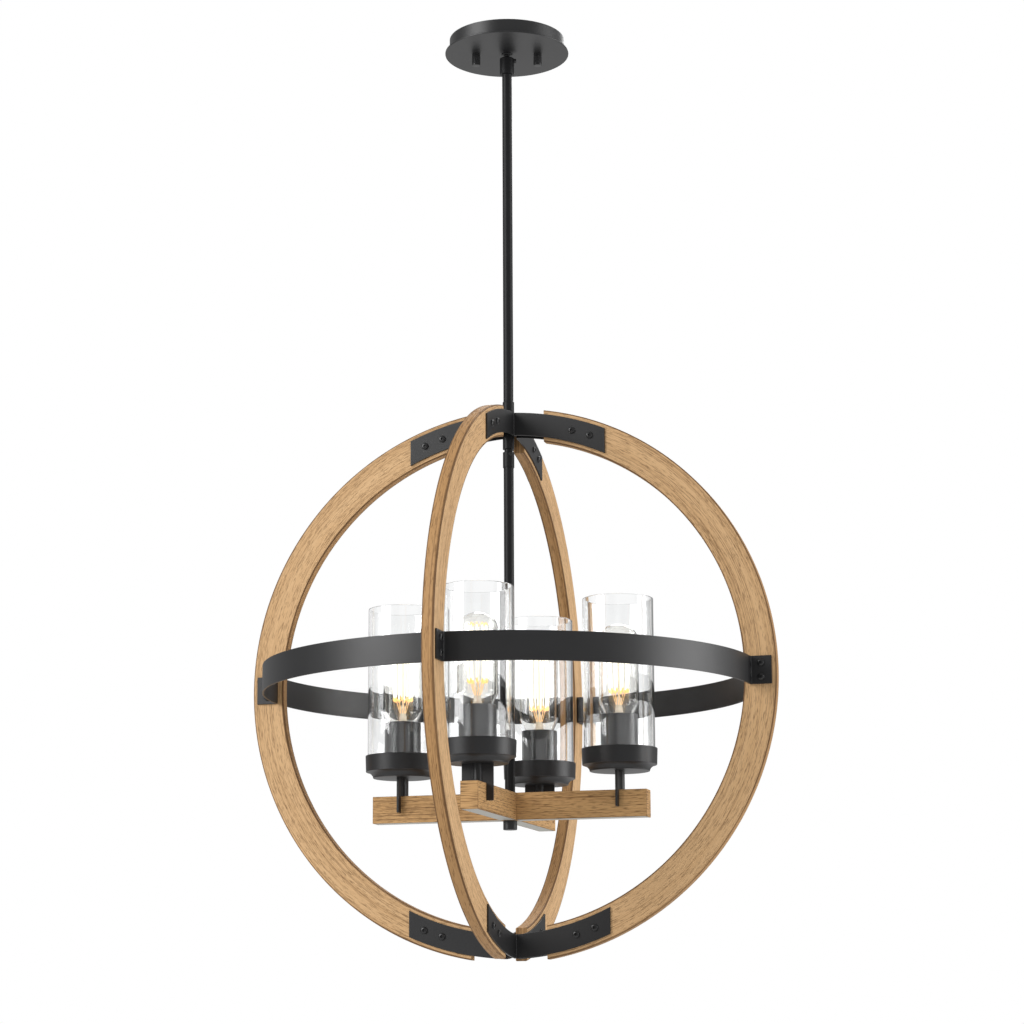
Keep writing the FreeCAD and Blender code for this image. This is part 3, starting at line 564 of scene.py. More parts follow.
def turned(name: str, profile: Sequence[Flat], segments: int = 64,
           spot: Vector = Vector()) -> bpy.types.Mesh:
    """Closed solid of revolution about a vertical axis.

    Args:
        name: The mesh's name.
        profile: (radius, height) points of a closed outline.
        segments: Faces round the axis.
        spot: Where the axis stands.

    Returns:
        The mesh, with its faces pointing outwards.
    """
    parts = MeshParts()
    rings: list[list[int]] = []
    for radius, height in profile:
        ring = []
        for step in range(1 if radius < ON_AXIS else segments):
            ring.append(len(parts.vertices))
            place = Vector((*polar(radius, ROUND * step / segments), height))
            parts.vertices.append(spot + place)
        rings.append(ring)
    for index, ring in enumerate(rings):
        following = rings[(index + 1) % len(rings)]
        for step in range(segments):
            after = (step + 1) % segments
            loop = [ring[step % len(ring)], ring[after % len(ring)],
                    following[after % len(following)], following[step % len(following)]]
            unique = tuple(dict.fromkeys(loop))
            if len(unique) > 2:
                parts.faces.append(unique)
    return outward(parts.mesh(name), ON_AXIS)


@contextmanager
def editing(mesh: bpy.types.Mesh) -> Iterator[bmesh.types.BMesh]:
    """A BMesh of a mesh, written back to it at the end."""
    work = bmesh.new()
    work.from_mesh(mesh)
    yield work
    work.to_mesh(mesh)
    work.free()


def outward(mesh: bpy.types.Mesh, merge: float = 0.0) -> bpy.types.Mesh:
    """Turn a closed mesh's faces outwards, and merge doubles where a distance is given."""
    with editing(mesh) as work:
        if merge:
            bmesh.ops.remove_doubles(work, verts=work.verts, dist=merge)
        bmesh.ops.recalc_face_normals(work, faces=work.faces)
    return mesh


def moved(mesh: bpy.types.Mesh, matrix: Matrix, name: str) -> bpy.types.Mesh:
    """A copy of a mesh, moved and renamed."""
    copy = mesh.copy()
    copy.name = name
    copy.transform(matrix)
    return copy


def joined(name: str, meshes: Iterable[bpy.types.Mesh]) -> bpy.types.Mesh:
    """Several meshes as one."""
    work = bmesh.new()
    for mesh in meshes:
        work.from_mesh(mesh)
    whole = bpy.data.meshes.new(name)
    work.to_mesh(whole)
    work.free()
    return whole


def tube(name: str, path: Sequence[Vector], radius: float, sides: int = 6) -> bpy.types.Mesh:
    """A round wire along a path, closed at both ends.

    Args:
        name: The mesh's name.
        path: Points along its middle line.
        radius: The wire's radius.
        sides: Faces round it.

    Returns:
        The wire's mesh.
    """
    parts = MeshParts()
    across = Vector((0.0, 0.0, 1.0)).cross(path[1] - path[0])
    if across.length < 1e-9:
        across = Vector((1.0, 0.0, 0.0))
    rings = []
    for index, point in enumerate(path):
        ahead = path[min(index + 1, len(path) - 1)] - path[max(index - 1, 0)]
        across = (across - ahead * across.dot(ahead) / ahead.length_squared).normalized()
        up = ahead.normalized().cross(across)
        rings.append(range(index * sides, (index + 1) * sides))
        for step in range(sides):
            right, rise = polar(1.0, ROUND * step / sides)
            parts.vertices.append(point + (across * right + up * rise) * radius)
    for low, high in zip(rings, rings[1:]):
        parts.strip(low, high)
    parts.faces += [tuple(reversed(rings[0])), tuple(rings[-1])]
    return outward(parts.mesh(name))


def bent(points: Sequence[Sequence[float]], steps: int = 6) -> list[Vector]:
    """A smooth path through points, passing each of them."""
    knots = [Vector(point) for point in points]
    knots = [knots[0] * 2 - knots[1], *knots, knots[-1] * 2 - knots[-2]]
    path = []
    for index in range(1, len(knots) - 2):
        before, here, there, beyond = knots[index - 1:index + 3]
        for step in range(steps):
            share = step / steps
            path.append(0.5 * (here * 2 + (there - before) * share
                               + (before * 2 - here * 5 + there * 4 - beyond) * share ** 2
                               + (here * 3 - before - there * 3 + beyond) * share ** 3))
    path.append(knots[-2])
    return path


# ------------------------------------------------------------------ pieces


def thing(mesh: bpy.types.Mesh, name: str) -> bpy.types.Object:
    """An object at the origin that shows a mesh."""
    made = bpy.data.objects.new(name, mesh)
    bpy.context.scene.collection.objects.link(made)
    return made


def soften(piece: bpy.types.Object, width: float = SMALL_EDGE, angle: float = 40.0) -> bpy.types.Object:
    """Add a bevel to a piece's sharp edges."""
    bevel = piece.modifiers.new("bevel", "BEVEL")
    bevel.width = width
    bevel.segments = 2
    bevel.limit_method = "ANGLE"
    bevel.angle_limit = math.radians(angle)
    return piece


def plain(piece: bpy.types.Object) -> None:
    """Turn a piece's modifiers into plain mesh."""
    if not piece.modifiers:
        return
    graph = bpy.context.evaluated_depsgraph_get()
    mesh = bpy.data.meshes.new_from_object(piece.evaluated_get(graph), depsgraph=graph)
    mesh.name = piece.name
    piece.modifiers.clear()
    piece.data = mesh


def shaded(piece: bpy.types.Object) -> None:
    """Shade a piece smooth, with sharp edges kept and flat faces kept flat."""
    plain(piece)
    piece.data.shade_smooth()
    piece.data.set_sharp_from_angle(angle=SHARP_ANGLE)
    weighted = piece.modifiers.new("weighted", "WEIGHTED_NORMAL")
    weighted.keep_sharp = True
    plain(piece)


def settle(piece: bpy.types.Object, finish: Finish, body: str, nodes: Sequence[str] = ()) -> None:
    """Dress a piece and hand it to its body.

    Args:
        piece: The finished piece.
        finish: What it is finished in.
        body: The body it rides on.
        nodes: The CAD nodes that it replaces.
    """
    shaded(piece)
    piece.data.materials.clear()
    piece.data.materials.append(finish.material())
    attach(piece, body)
    if nodes:
        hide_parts(*nodes)
    LOG.info("%s: %d faces on %s", piece.name, len(piece.data.polygons), body)


def wear(nodes: Iterable[str], finish: Finish) -> None:
    """Give CAD nodes that stay a finish of their own."""
    for name in nodes:
        if not NODES[name].material_slots:
            NODES[name].data.materials.append(finish.material())
        for slot in NODES[name].material_slots:
            slot.material = finish.material()


def from_node(node: str, name: str) -> bpy.types.Object:
    """A piece made of a merged copy of a CAD node's mesh, with its flat faces made whole."""
    mesh = NODES[node].data.copy()
    mesh.name = node
    with editing(mesh) as work:
        bmesh.ops.remove_doubles(work, verts=work.verts, dist=NODE_MERGE)
        bmesh.ops.dissolve_limit(work, angle_limit=FLAT_ANGLE, verts=work.verts, edges=work.edges)
        for edge in work.edges:
            edge.smooth = True
    for layer in [item.name for item in mesh.attributes if item.name.startswith("custom_normal")]:
        mesh.attributes.remove(mesh.attributes[layer])
    return thing(mesh, name)


# ------------------------------------------------------------------ repeats by rule


class RuleTree:
    """A geometry node tree with named inputs, ending in realized mesh and its material."""

    def __init__(self, name: str, inputs: dict[str, tuple[str, Any]]) -> None:
        """Open the tree.

        Args:
            name: The tree's name.
            inputs: Input name to its socket type and first value.
        """
        self.tree = bpy.data.node_groups.new(name, "GeometryNodeTree")
        face = self.tree.interface
        face.new_socket("Geometry", in_out="INPUT", socket_type="NodeSocketGeometry")
        face.new_socket("Geometry", in_out="OUTPUT", socket_type="NodeSocketGeometry")
        for label, (kind, value) in inputs.items():
            socket = face.new_socket(label, in_out="INPUT", socket_type=kind)
            if value is not None:
                socket.default_value = value
        self.graph = Graph(self.tree)
        self.inlet = self.tree.nodes.new("NodeGroupInput")

    def given(self, label: str) -> Wire:
        """One of the tree's named inputs."""
        return Wire(self.graph, self.inlet.outputs[label])

    def chance(self, high: float) -> Wire:
        """A seeded random number for each copy, from 0."""
        drawn = self.graph.make("FunctionNodeRandomValue", {"data_type": "FLOAT"},
                                {"Min": 0.0, "Max": high, "Seed": self.given("Seed")})
        return Wire(self.graph, next(socket for socket in drawn.outputs if socket.enabled))

    def close(self, geometry: Wire) -> "RuleTree":
        """Realize the copies, set the material and end the tree."""
        real = self.graph.add("GeometryNodeRealizeInstances", None, {0: geometry})
        done = self.graph.add("GeometryNodeSetMaterial", None,
                              {"Geometry": real, "Material": self.given("Material")})
        outlet = self.tree.nodes.new("NodeGroupOutput")
        self.tree.links.new(done.socket, outlet.inputs[0])
        return self

    def apply(self, name: str, mesh: bpy.types.Mesh, values: dict[str, Any]) -> bpy.types.Object:
        """Run the tree on a mesh.

        Args:
            name: The new piece's name.
            mesh: The geometry it starts from.
            values: Input name to value.

        Returns:
            The piece, as plain mesh.
        """
        piece = thing(mesh, name)
        modifier = piece.modifiers.new(name, "NODES")
        modifier.node_group = self.tree
        for item in self.tree.interface.items_tree:
            if item.in_out == "INPUT" and item.name in values:
                modifier[item.identifier] = values[item.name]
        plain(piece)
        return piece


def ring_rule() -> RuleTree:
    """Copies of the incoming mesh turned about the vertical axis, each with its own shift."""
    rule = RuleTree("ring_of_copies", {
        "Count": ("NodeSocketInt", 4), "Seed": ("NodeSocketInt", 7),
        "Material": ("NodeSocketMaterial", None)})
    graph = rule.graph
    points = graph.add("GeometryNodeMeshLine", {"mode": "OFFSET"},
                       {"Count": rule.given("Count"), "Offset": (0.0, 0.0, 0.0)})
    angle = graph.add("GeometryNodeInputIndex") / rule.given("Count") * ROUND
    spin = graph.add("ShaderNodeCombineXYZ", None, {"Z": angle})
    copies = graph.add("GeometryNodeInstanceOnPoints", None, {
        "Points": points, "Instance": rule.given("Geometry"),
        "Rotation": graph.add("FunctionNodeEulerToRotation", None, {0: spin})})
    return rule.close(graph.add(
        "GeometryNodeStoreNamedAttribute", {"domain": "INSTANCE", "data_type": "FLOAT"},
        {"Geometry": copies, "Name": "copy_shift", "Value": rule.chance(9.0)}))


def spot_rule() -> RuleTree:
    """A pattern mesh set on each point of the incoming mesh, aimed by its aim attribute."""
    rule = RuleTree("pieces_on_spots", {
        "Pattern": ("NodeSocketObject", None), "Seed": ("NodeSocketInt", 3),
        "Scale": ("NodeSocketFloat", 1.0), "Material": ("NodeSocketMaterial", None)})
    graph = rule.graph
    pattern = graph.add("GeometryNodeObjectInfo", {"transform_space": "ORIGINAL"},
                        {"Object": rule.given("Pattern")}, "Geometry")
    aim = graph.add("GeometryNodeInputNamedAttribute", {"data_type": "FLOAT_VECTOR"},
                    {"Name": "aim"}, "Attribute")
    lean = graph.add("FunctionNodeAlignRotationToVector", {"axis": "Z"}, {"Vector": aim})
    spin = graph.add("FunctionNodeAxisAngleToRotation", None,
                     {"Axis": (0.0, 0.0, 1.0), "Angle": rule.chance(ROUND)})
    turn = graph.add("FunctionNodeRotateRotation", {"rotation_space": "LOCAL"}, {0: lean, 1: spin})
    return rule.close(graph.add("GeometryNodeInstanceOnPoints", None, {
        "Points": rule.given("Geometry"), "Instance": pattern, "Rotation": turn,
        "Scale": rule.given("Scale")}))


RING = ring_rule()
SPOTS = spot_rule()
RING_SEED = 11


def in_ring(name: str, mesh: bpy.types.Mesh, finish: Finish, count: int = 4) -> bpy.types.Object:
    """One piece holding copies of a mesh, turned evenly about the vertical axis."""
    return RING.apply(name, mesh, {"Count": count, "Seed": RING_SEED, "Material": finish.material()})


def on_spots(name: str, spots: Spots, pattern: bpy.types.Mesh, finish: Finish,
             seed: int) -> bpy.types.Object:
    """One piece holding a copy of a pattern on each spot, a place and an aim."""
    sample = thing(pattern, f"{name}_pattern")
    mesh = bpy.data.meshes.new(name)
    mesh.from_pydata([tuple(place) for place, _ in spots], [], [])
    aims = mesh.attributes.new("aim", "FLOAT_VECTOR", "POINT")
    for index, (_, aim) in enumerate(spots):
        aims.data[index].vector = aim
    piece = SPOTS.apply(name, mesh, {"Pattern": sample, "Seed": seed, "Material": finish.material()})
    bpy.data.objects.remove(sample)
    return piece


# ------------------------------------------------------------------ sub-assemblies


@dataclass
class Canopy:
    """Ceiling canopy: shallow pan with a wider disc, bush and knurled nuts."""

    height: float = 0.0175
    disc_radius: float = 0.070
    disc_thickness: float = 0.002
    pan_radius: float = 0.065
    wall: float = 0.0012
    rounding: float = 0.0006
    bush_radius: float = 0.005
    bush_play: float = 0.0001
    bush_top: float = -0.0095
    bush_bore: float = 0.00305
    flange_radius: float = 0.0062
    flange_thickness: float = 0.001
    flange_rounding: float = 0.0004
    turn: float = math.radians(16.4)
    nut_reach: float = 0.034925
    nut_radius: float = 0.00485
    nut_height: float = 0.013
    nut_rounding: float = 0.0008
    nut_plain: float = 0.003
    stud_radius: float = 0.0021
    stud_end: float = 0.0285
    ridge_count: int = 26
    ridge_rows: int = 8
    ridge_peak: float = 0.00035
    ridge_sink: float = 0.00015

    def pan(self) -> bpy.types.Mesh:
        """The pan and its disc, in one skin."""
        disc_top = self.disc_thickness - self.height
        soft = self.rounding
        inner = self.pan_radius - self.wall
        centre = self.bush_radius + self.bush_play
        return turned("canopy_pan_skin", rounded([
            (centre, -self.height), (self.disc_radius, -self.height, soft),
            (self.disc_radius, disc_top, soft), (self.pan_radius, disc_top, soft * 0.5),
            (self.pan_radius, 0.0, soft * 0.5), (inner, 0.0, soft * 0.5), (inner, disc_top),
            (centre, disc_top)]), 144)

    def bush(self) -> bpy.types.Mesh:
        """The flanged bush in the canopy's centre."""
        low = -self.height - self.flange_thickness
        return turned("canopy_bush_skin", rounded([
            (self.bush_bore, low), (self.flange_radius, low, self.flange_rounding),
            (self.flange_radius, -self.height), (self.bush_radius, -self.height),
            (self.bush_radius, self.bush_top), (self.bush_bore, self.bush_top)]))

    def on_studs(self, name: str, mesh: bpy.types.Mesh) -> bpy.types.Mesh:
        """A mesh set under both studs, at the disc's face."""
        along = Vector((*polar(1.0, self.turn), 0.0)) * self.nut_reach
        spots = [along * side - Vector((0.0, 0.0, self.height)) for side in (1, -1)]
        return joined(name, [moved(mesh, Matrix.Translation(spot), name) for spot in spots])

    def nut_core(self) -> bpy.types.Mesh:
        """The plain body of a knurled nut, bored for its stud."""
        radius, low = self.nut_radius - self.ridge_peak, -self.nut_height
        floor = self.height - self.stud_end
        return turned("nut_core", rounded([
            (self.stud_radius, floor), (self.stud_radius, 0.0), (radius, 0.0),
            (radius, low, self.nut_rounding), (0.0, low), (0.0, floor)]))

    def ridge(self) -> bpy.types.Mesh:
        """One raised diamond of the knurl, pointing along Z."""
        half_round = math.pi * self.nut_radius / self.ridge_count
        half_tall = (self.nut_height - self.nut_plain) / self.ridge_rows / 2
        sink = -self.ridge_sink
        points = [(half_tall, 0, sink), (0, half_round, sink), (-half_tall, 0, sink),
                  (0, -half_round, sink), (0, 0, self.ridge_peak)]
        mesh = bpy.data.meshes.new("knurl_diamond")
        mesh.from_pydata(points, [], [(0, 1, 4), (1, 2, 4), (2, 3, 4), (3, 0, 4), (3, 2, 1, 0)])
        return mesh

    def knurl(self) -> bpy.types.Mesh:
        """The diamonds round a nut, set by the ring rule."""
        tall = (self.nut_height - self.nut_plain) / self.ridge_rows
        column = []
        for row in range(self.ridge_rows * 2 - 1):
            height = -self.nut_plain * 0.6 - tall * (row + 1) / 2
            half_turn = math.pi / self.ridge_count if row % 2 else 0.0
            reach = Matrix.Translation((self.nut_radius - self.ridge_peak, 0.0, height))
            stand = reach @ spun(QUARTER, "Y")
            column.append(moved(self.ridge(), spun(half_turn) @ stand, "diamond"))
        ring = in_ring("knurl_ring", joined("knurl_column", column), BLACK, self.ridge_count)
        around = ring.data
        bpy.data.objects.remove(ring)
        return around

    def build(self) -> None:
        """Build the canopy's pieces and hand them over."""
        body = Body.CANOPY.value
        settle(thing(self.pan(), "canopy_shell"), BLACK, body, ["canopy_pan"])
        settle(thing(self.bush(), "canopy_centre_bush"), BLACK, body, ["canopy_bush"])
        nuts = joined("thumb_nuts", [self.on_studs("knurled_nut_cores", self.nut_core()),
                                     self.on_studs("knurl_rings", self.knurl())])
        settle(thing(nuts, "canopy_thumb_nuts"), SCREW, body, ["knurled_nuts"])
        wear(["ceiling_strap", "canopy_studs", "bush_nut", "stem_nut"], ZINC)
        wear(["swivel_stem"], BLACK)


@dataclass
class Sleeve:
    """A pinned sleeve, with a ball pocket above and a rod socket below; level is its pin's."""

    level: float
    radius: float
    length: float
    pocket: float
    deep: float
    soft: float
    pin_turn: float
    pin_radius: float
    head_radius: float
    head_height: float
    drive_radius: float
    lip: float = 0.0028
    bore: float = 0.0038
    rod_radius: float = 0.0055
    foot_rounding: float = 0.0004
    pocket_rounding: float = 0.0003
    tip_rounding: float = 0.0002

    def mesh(self, name: str) -> bpy.types.Mesh:
        """The sleeve."""
        high = self.level + self.lip
        low = high - self.length
        floor = self.level - self.pocket
        return turned(name, rounded([
            (self.bore, low + self.deep), (self.rod_radius, low + self.deep), (self.rod_radius, low),
            (self.radius, low, self.foot_rounding), (self.radius, high, self.soft),
            (self.pocket, high, self.pocket_rounding), (self.pocket, floor),
            (self.bore, floor)]), 72)

    def pin(self, name: str) -> bpy.types.Mesh:
        """Its cross pin, with a recessed head."""
        edge, thick = self.radius, self.head_height
        profile = rounded([
            (0.0, -edge), (self.pin_radius, -edge, self.tip_rounding), (self.pin_radius, edge),
            (self.head_radius, edge), (self.head_radius, edge + thick, thick * 0.35),
            (self.drive_radius, edge + thick, 0.0001), (self.drive_radius * 0.9, edge + thick * 0.35),
            (0.0, edge + thick * 0.3)])
        stand = Matrix.Translation((0, 0, self.level)) @ spun(self.pin_turn) @ spun(QUARTER, "Y")
        return moved(turned(name, profile, 40), stand, name)


COLLAR = Sleeve(level=-0.0249, radius=0.00815, length=0.0193, pocket=0.0064, deep=0.008, soft=0.0007,
                pin_turn=math.radians(16.4), pin_radius=0.0015, head_radius=0.0026,
                head_height=0.0024, drive_radius=0.0013)
KNUCKLE = Sleeve(level=-0.4836, radius=0.0063, length=0.0175, pocket=0.0053, deep=0.006, soft=0.0010,
                 pin_turn=math.radians(-55.0), pin_radius=0.0012, head_radius=0.0021,
                 head_height=0.0007, drive_radius=0.0011)


@dataclass
class Rods:
    """Collar, long rod and hub sleeve; knuckle and short rod under them."""

    bore: float = 0.0038
    rod_radius: float = 0.0055
    rod_top: float = -0.0334
    hub_top: float = -0.4234
    hub_socket: float = 0.010
    cross_top: float = -0.8564
    beam_height: float = 0.029
    thread_radius: float = 0.0045
    thread_tip: float = -0.8914
    wire_bore: float = 0.003
    cap_radius: float = 0.0075
    cap_height: float = 0.010
    cap_depth: float = 0.008
    cap_rounding: float = 0.0009
    cap_rim: float = 0.0002

    def long_rod(self) -> bpy.types.Mesh:
        """The long tube under the canopy."""
        low = self.hub_top - self.hub_socket
        return turned("long_rod", [(self.bore, low), (self.rod_radius, low),
                                   (self.rod_radius, self.rod_top), (self.bore, self.rod_top)])

    def short_rod(self) -> bpy.types.Mesh:
        """The tube down to the lamp cross, with its threaded end."""
        top = KNUCKLE.level + KNUCKLE.lip - KNUCKLE.length + KNUCKLE.deep
        return turned("short_rod", [
            (self.wire_bore, self.thread_tip), (self.thread_radius, self.thread_tip),
            (self.thread_radius, self.cross_top), (self.rod_radius, self.cross_top),
            (self.rod_radius, top), (self.wire_bore, top)])

    def finial(self) -> bpy.types.Mesh:
        """The round cap nut under the cross."""
        top = self.cross_top - self.beam_height
        low, roof = top - self.cap_height, top - self.cap_depth
        return turned("cap_nut", rounded([
            (0.0, low), (self.cap_radius, low, self.cap_rounding),
            (self.cap_radius, top, self.cap_rim), (self.thread_radius, top),
            (self.thread_radius, roof), (0.0, roof)]), 72)

    def build(self) -> None:
        """Build the rods' pieces and hand them over."""
        orb, cross = Body.ORB.value, Body.CROSS.value
        settle(thing(COLLAR.mesh("collar"), "rod_collar"), BLACK_SOFT, orb, ["swivel_collar"])
        settle(thing(COLLAR.pin("collar_screw_mesh"), "collar_screw"), BLACK, orb, ["swivel_pin"])
        settle(thing(self.long_rod(), "hanging_rod"), BLACK_SOFT, orb, ["upper_rod"])
        settle(soften(from_node("hub_sleeve", "hub_core")), BLACK_SOFT, orb, ["hub_sleeve"])
        wear(["knuckle_stem"], BLACK_SOFT)
        settle(thing(KNUCKLE.mesh("joint"), "knuckle_sleeve"), BLACK_SOFT, cross, ["knuckle"])
        screw = thing(KNUCKLE.pin("knuckle_screw_mesh"), "knuckle_screw")
        settle(screw, BLACK, cross, ["knuckle_pin"])
        settle(thing(self.short_rod(), "drop_rod"), BLACK_SOFT, cross, ["lower_rod"])
        settle(thing(self.finial(), "cross_cap_nut"), BLACK, cross, ["finial"])


@dataclass
class Globe:
    """Four oak ribs held by corner plates above and below and by a steel band."""

    centre: float = -0.7349
    radius: float = 0.302
    inset: float = 0.008
    width: float = 0.035
    thickness: float = 0.0127
    end: float = 0.042
    rounding: float = 0.0012
    rim_width: float = 0.0014
    narrow_face: float = 0.004
    # Share of the width at each edge whose faces count as narrow faces and get painted shade.
    side_share: float = 0.03
    stations: int = 168
    end_grain: float = 0.004
    # End faces' share of the painted shade, partly also end grain's own darker tone.
    end_rim: float = 0.6
    end_tone_and_shade: float = 0.8
    bolt_reach: tuple[float, float] = (0.074, 0.094)
    strip: float = 0.002
    band_radius: float = 0.2658
    band_height: float = 0.030
    band_bend: float = 0.0016
    band_fillet: float = 0.002
    band_lead: float = 0.012
    band_steps: int = 40
    tab_length: float = 0.023
    band_bolt_pitch: float = 0.015
    head_radius: float = 0.0038
    head_height: float = 0.0022
    head_dome: tuple[Flat, ...] = ((0.0036, 0.0013), (0.0031, 0.0018), (0.0025, 0.0021))
    head_sides: int = 24
    socket_radius: float = 0.00135
    socket_depth: float = 0.0016
    shank_radius: float = 0.002
    shank_depth: float = 0.003

    def section(self) -> list[tuple[float, float, bool]]:
        """Rounded section of a rib: (0 to 1 across the width, offset in thickness, on a rim)."""
        half, soft = self.thickness / 2, self.rounding
        outline = rounded([(0.0, -half, soft), (self.width, -half, soft), (self.width, half, soft),
                           (0.0, half, soft)], 3)
        points: list[tuple[float, float, bool]] = []
        for index, (across, up) in enumerate(outline):
            after = outline[(index + 1) % len(outline)]
            points.append((across / self.width, up, True))
            run = math.dist((across, up), after)
            rim = self.rim_width / run
            for part in (rim, 0.5, 1.0 - rim) if run > self.narrow_face else ():
                spot = (across + (after[0] - across) * part, up + (after[1] - up) * part)
                points.append((spot[0] / self.width, spot[1], False))
        return points

    def rib(self) -> bpy.types.Mesh:
        """One rib with upright ends, its grain laid along it and painted shade on its narrow faces."""
        radii = (self.radius - self.width, self.radius)
        wide = [math.acos((self.end + self.inset) / radius) for radius in radii]
        section = self.section()
        around = len(section)
        parts = MeshParts()
        rings = []
        for station in range(self.stations + 1):
            share = 2.0 * station / self.stations - 1.0
            low, high = (Vector(polar(radius, angle * share)) for radius, angle in zip(radii, wide))
            rings.append(range(station * around, (station + 1) * around))
            for across, up, _ in section:
                spot = low.lerp(high, across)
                parts.vertices.append(Vector((spot.x - self.inset, up, spot.y + self.centre)))
        girth = [0.0]
        for index in range(around):
            here, there = ((across * self.width, up) for across, up, _ in
                           (section[index], section[(index + 1) % around]))
            girth.append(girth[-1] + math.dist(here, there))
        length = (self.radius - self.width / 2) * sum(wide)
        for station in range(self.stations):
            parts.strip(rings[station], rings[station + 1])
            start, stop = (length * step / self.stations for step in (station, station + 1))
            for index in range(around):
                low, high = girth[index], girth[index + 1]
                after = section[(index + 1) % around]
                rims = (float(section[index][2]), float(after[2]))
                middle = (section[index][0] + after[0]) / 2
                # The narrow inner and outer faces get painted shade.
                on_side = middle < self.side_share or middle > 1.0 - self.side_share
                parts.corners.append(((start, low), (start, high), (stop, high), (stop, low)))
                parts.rims.append((rims[0], rims[1], rims[1], rims[0]))
                parts.sides.append(1.0 if on_side else 0.0)
        for ring in (tuple(reversed(rings[0])), tuple(rings[-1])):
            parts.faces.append(ring)
            spots = [section[index % around] for index in ring]
            parts.corners.append([(across * self.end_grain, up) for across, up, _ in spots])
            parts.rims.append([self.end_rim] * around)
            # End faces get part of the painted shade, partly standing for end grain's darker tone.
            parts.sides.append(self.end_tone_and_shade)
        return outward(parts.mesh("rib_skin"))

    def screw_head(self) -> bpy.types.Mesh:
        """Button head with a six-sided socket, its seat on the XY plane."""
        around = self.head_sides
        sixth = math.pi / 6
        angles = [ROUND * step / around for step in range(around)]
        rings = [(self.shank_radius, -self.shank_depth), (self.shank_radius, 0.0),
                 (self.head_radius, 0.0), (self.head_radius, 0.0007), *self.head_dome,
                 (self.socket_radius * 1.25, self.head_height)]
        loops = [[(*polar(radius, angle), height) for angle in angles] for radius, height in rings]
        for depth in (self.head_height, self.head_height - self.socket_depth):
            flats = [math.cos(sixth) / math.cos(angle % (math.pi / 3) - sixth) for angle in angles]
            loops.append([(*polar(self.socket_radius / math.cos(sixth) * flat, angle), depth)
                          for flat, angle in zip(flats, angles)])
        parts = MeshParts([Vector(spot) for loop in loops for spot in loop])
        ends = [range(index * around, (index + 1) * around) for index in range(len(loops))]
        for low, high in zip(ends, ends[1:]):
            parts.strip(low, high)
        parts.faces += [tuple(ends[-1]), tuple(reversed(ends[0]))]
        return outward(parts.mesh("button_head"))

    def screws(self, group: str, places: Sequence[Flat], seed: int) -> None:
        """Set the heads of one group of bolts.

        Args:
            group: The group's name, before "_bolts" or "_screws".
            places: Reach and level of each bolt of one rib.
            seed: Seed of the heads' turns.
        """
        seat = self.thickness / 2 + self.strip
        spots = []
        for quarter in range(4):
            turn = Matrix.Rotation(QUARTER * quarter, 3, "Z")
            for reach, level in places:
                for side in (1, -1):
                    place = turn @ Vector((reach, seat * side, 0)) + Vector((0, 0, level))
                    spots.append((place, turn @ Vector((0, side, 0))))
        piece = on_spots(f"{group}_screws", spots, self.screw_head(), SCREW, seed)
        settle(piece, SCREW, Body.ORB.value, [f"{group}_bolts"])

    def band(self) -> bpy.types.Mesh:
        """One quarter of the band: a strip that follows its arc and turns out into two tabs."""
        face, half = self.thickness / 2, self.strip / 2
        back, reach = face + self.strip, self.band_radius + self.tab_length
        inner, outer = self.band_radius - half, self.band_radius + half
        near, far = math.sqrt(inner ** 2 - face ** 2), math.sqrt(outer ** 2 - back ** 2)
        first = math.asin(face / inner)
        inside = arc(inner, first, QUARTER - first, self.band_steps)[1:-1]
        first = math.asin(back / outer)
        outside = arc(outer, first + self.band_lead, QUARTER - first - self.band_lead, self.band_steps)
        fillet, bend = self.band_fillet, self.band_bend
        outline = rounded([
            (near, face, fillet), (reach, face), (reach, back), (far, back, bend), *outside,
            (back, far, bend), (back, reach), (face, reach), (face, near, fillet),
            *reversed(inside)], 4)
        parts = MeshParts()
        for across, up in outline:
            for side in (-1, 1):
                level = self.centre + side * self.band_height / 2
                parts.vertices.append(Vector((across, up, level)))
        low, high = range(0, len(outline) * 2, 2), range(1, len(outline) * 2, 2)
        parts.strip(low, high)
        parts.faces += [tuple(high), tuple(reversed(low))]
        return outward(parts.mesh("band_skin"))

    def build(self) -> None:
        """Build the globe's pieces and hand them over."""
        orb = Body.ORB.value
        ribs = in_ring("oak_ribs", self.rib(), OAK)
        settle(ribs, OAK, orb, [f"wood_rib_{side}" for side in SIDES])
        band = soften(in_ring("steel_band", self.band(), BLACK))
        settle(band, BLACK, orb, [f"band_{corner}" for corner in CORNERS])
        for corner in CORNERS:
            for level in ("top", "bottom"):
                node = f"{level}_plate_{corner}"
                plate = soften(from_node(node, f"{level}_bracket_{corner}"), angle=35.0)
                settle(plate, BLACK, orb, [node])
        middle = self.radius - self.width / 2
        heights = [math.sqrt(middle ** 2 - (reach + self.inset) ** 2) for reach in self.bolt_reach]
        for group, side, seed in (("top_bracket", 1, 5), ("bottom_bracket", -1, 6)):
            levels = [self.centre + side * height for height in heights]
            self.screws(group, list(zip(self.bolt_reach, levels)), seed)
        reach, rise = self.band_radius + self.tab_length / 2, self.band_bolt_pitch / 2
        self.screws("band", [(reach, self.centre + rise), (reach, self.centre - rise)], 8)


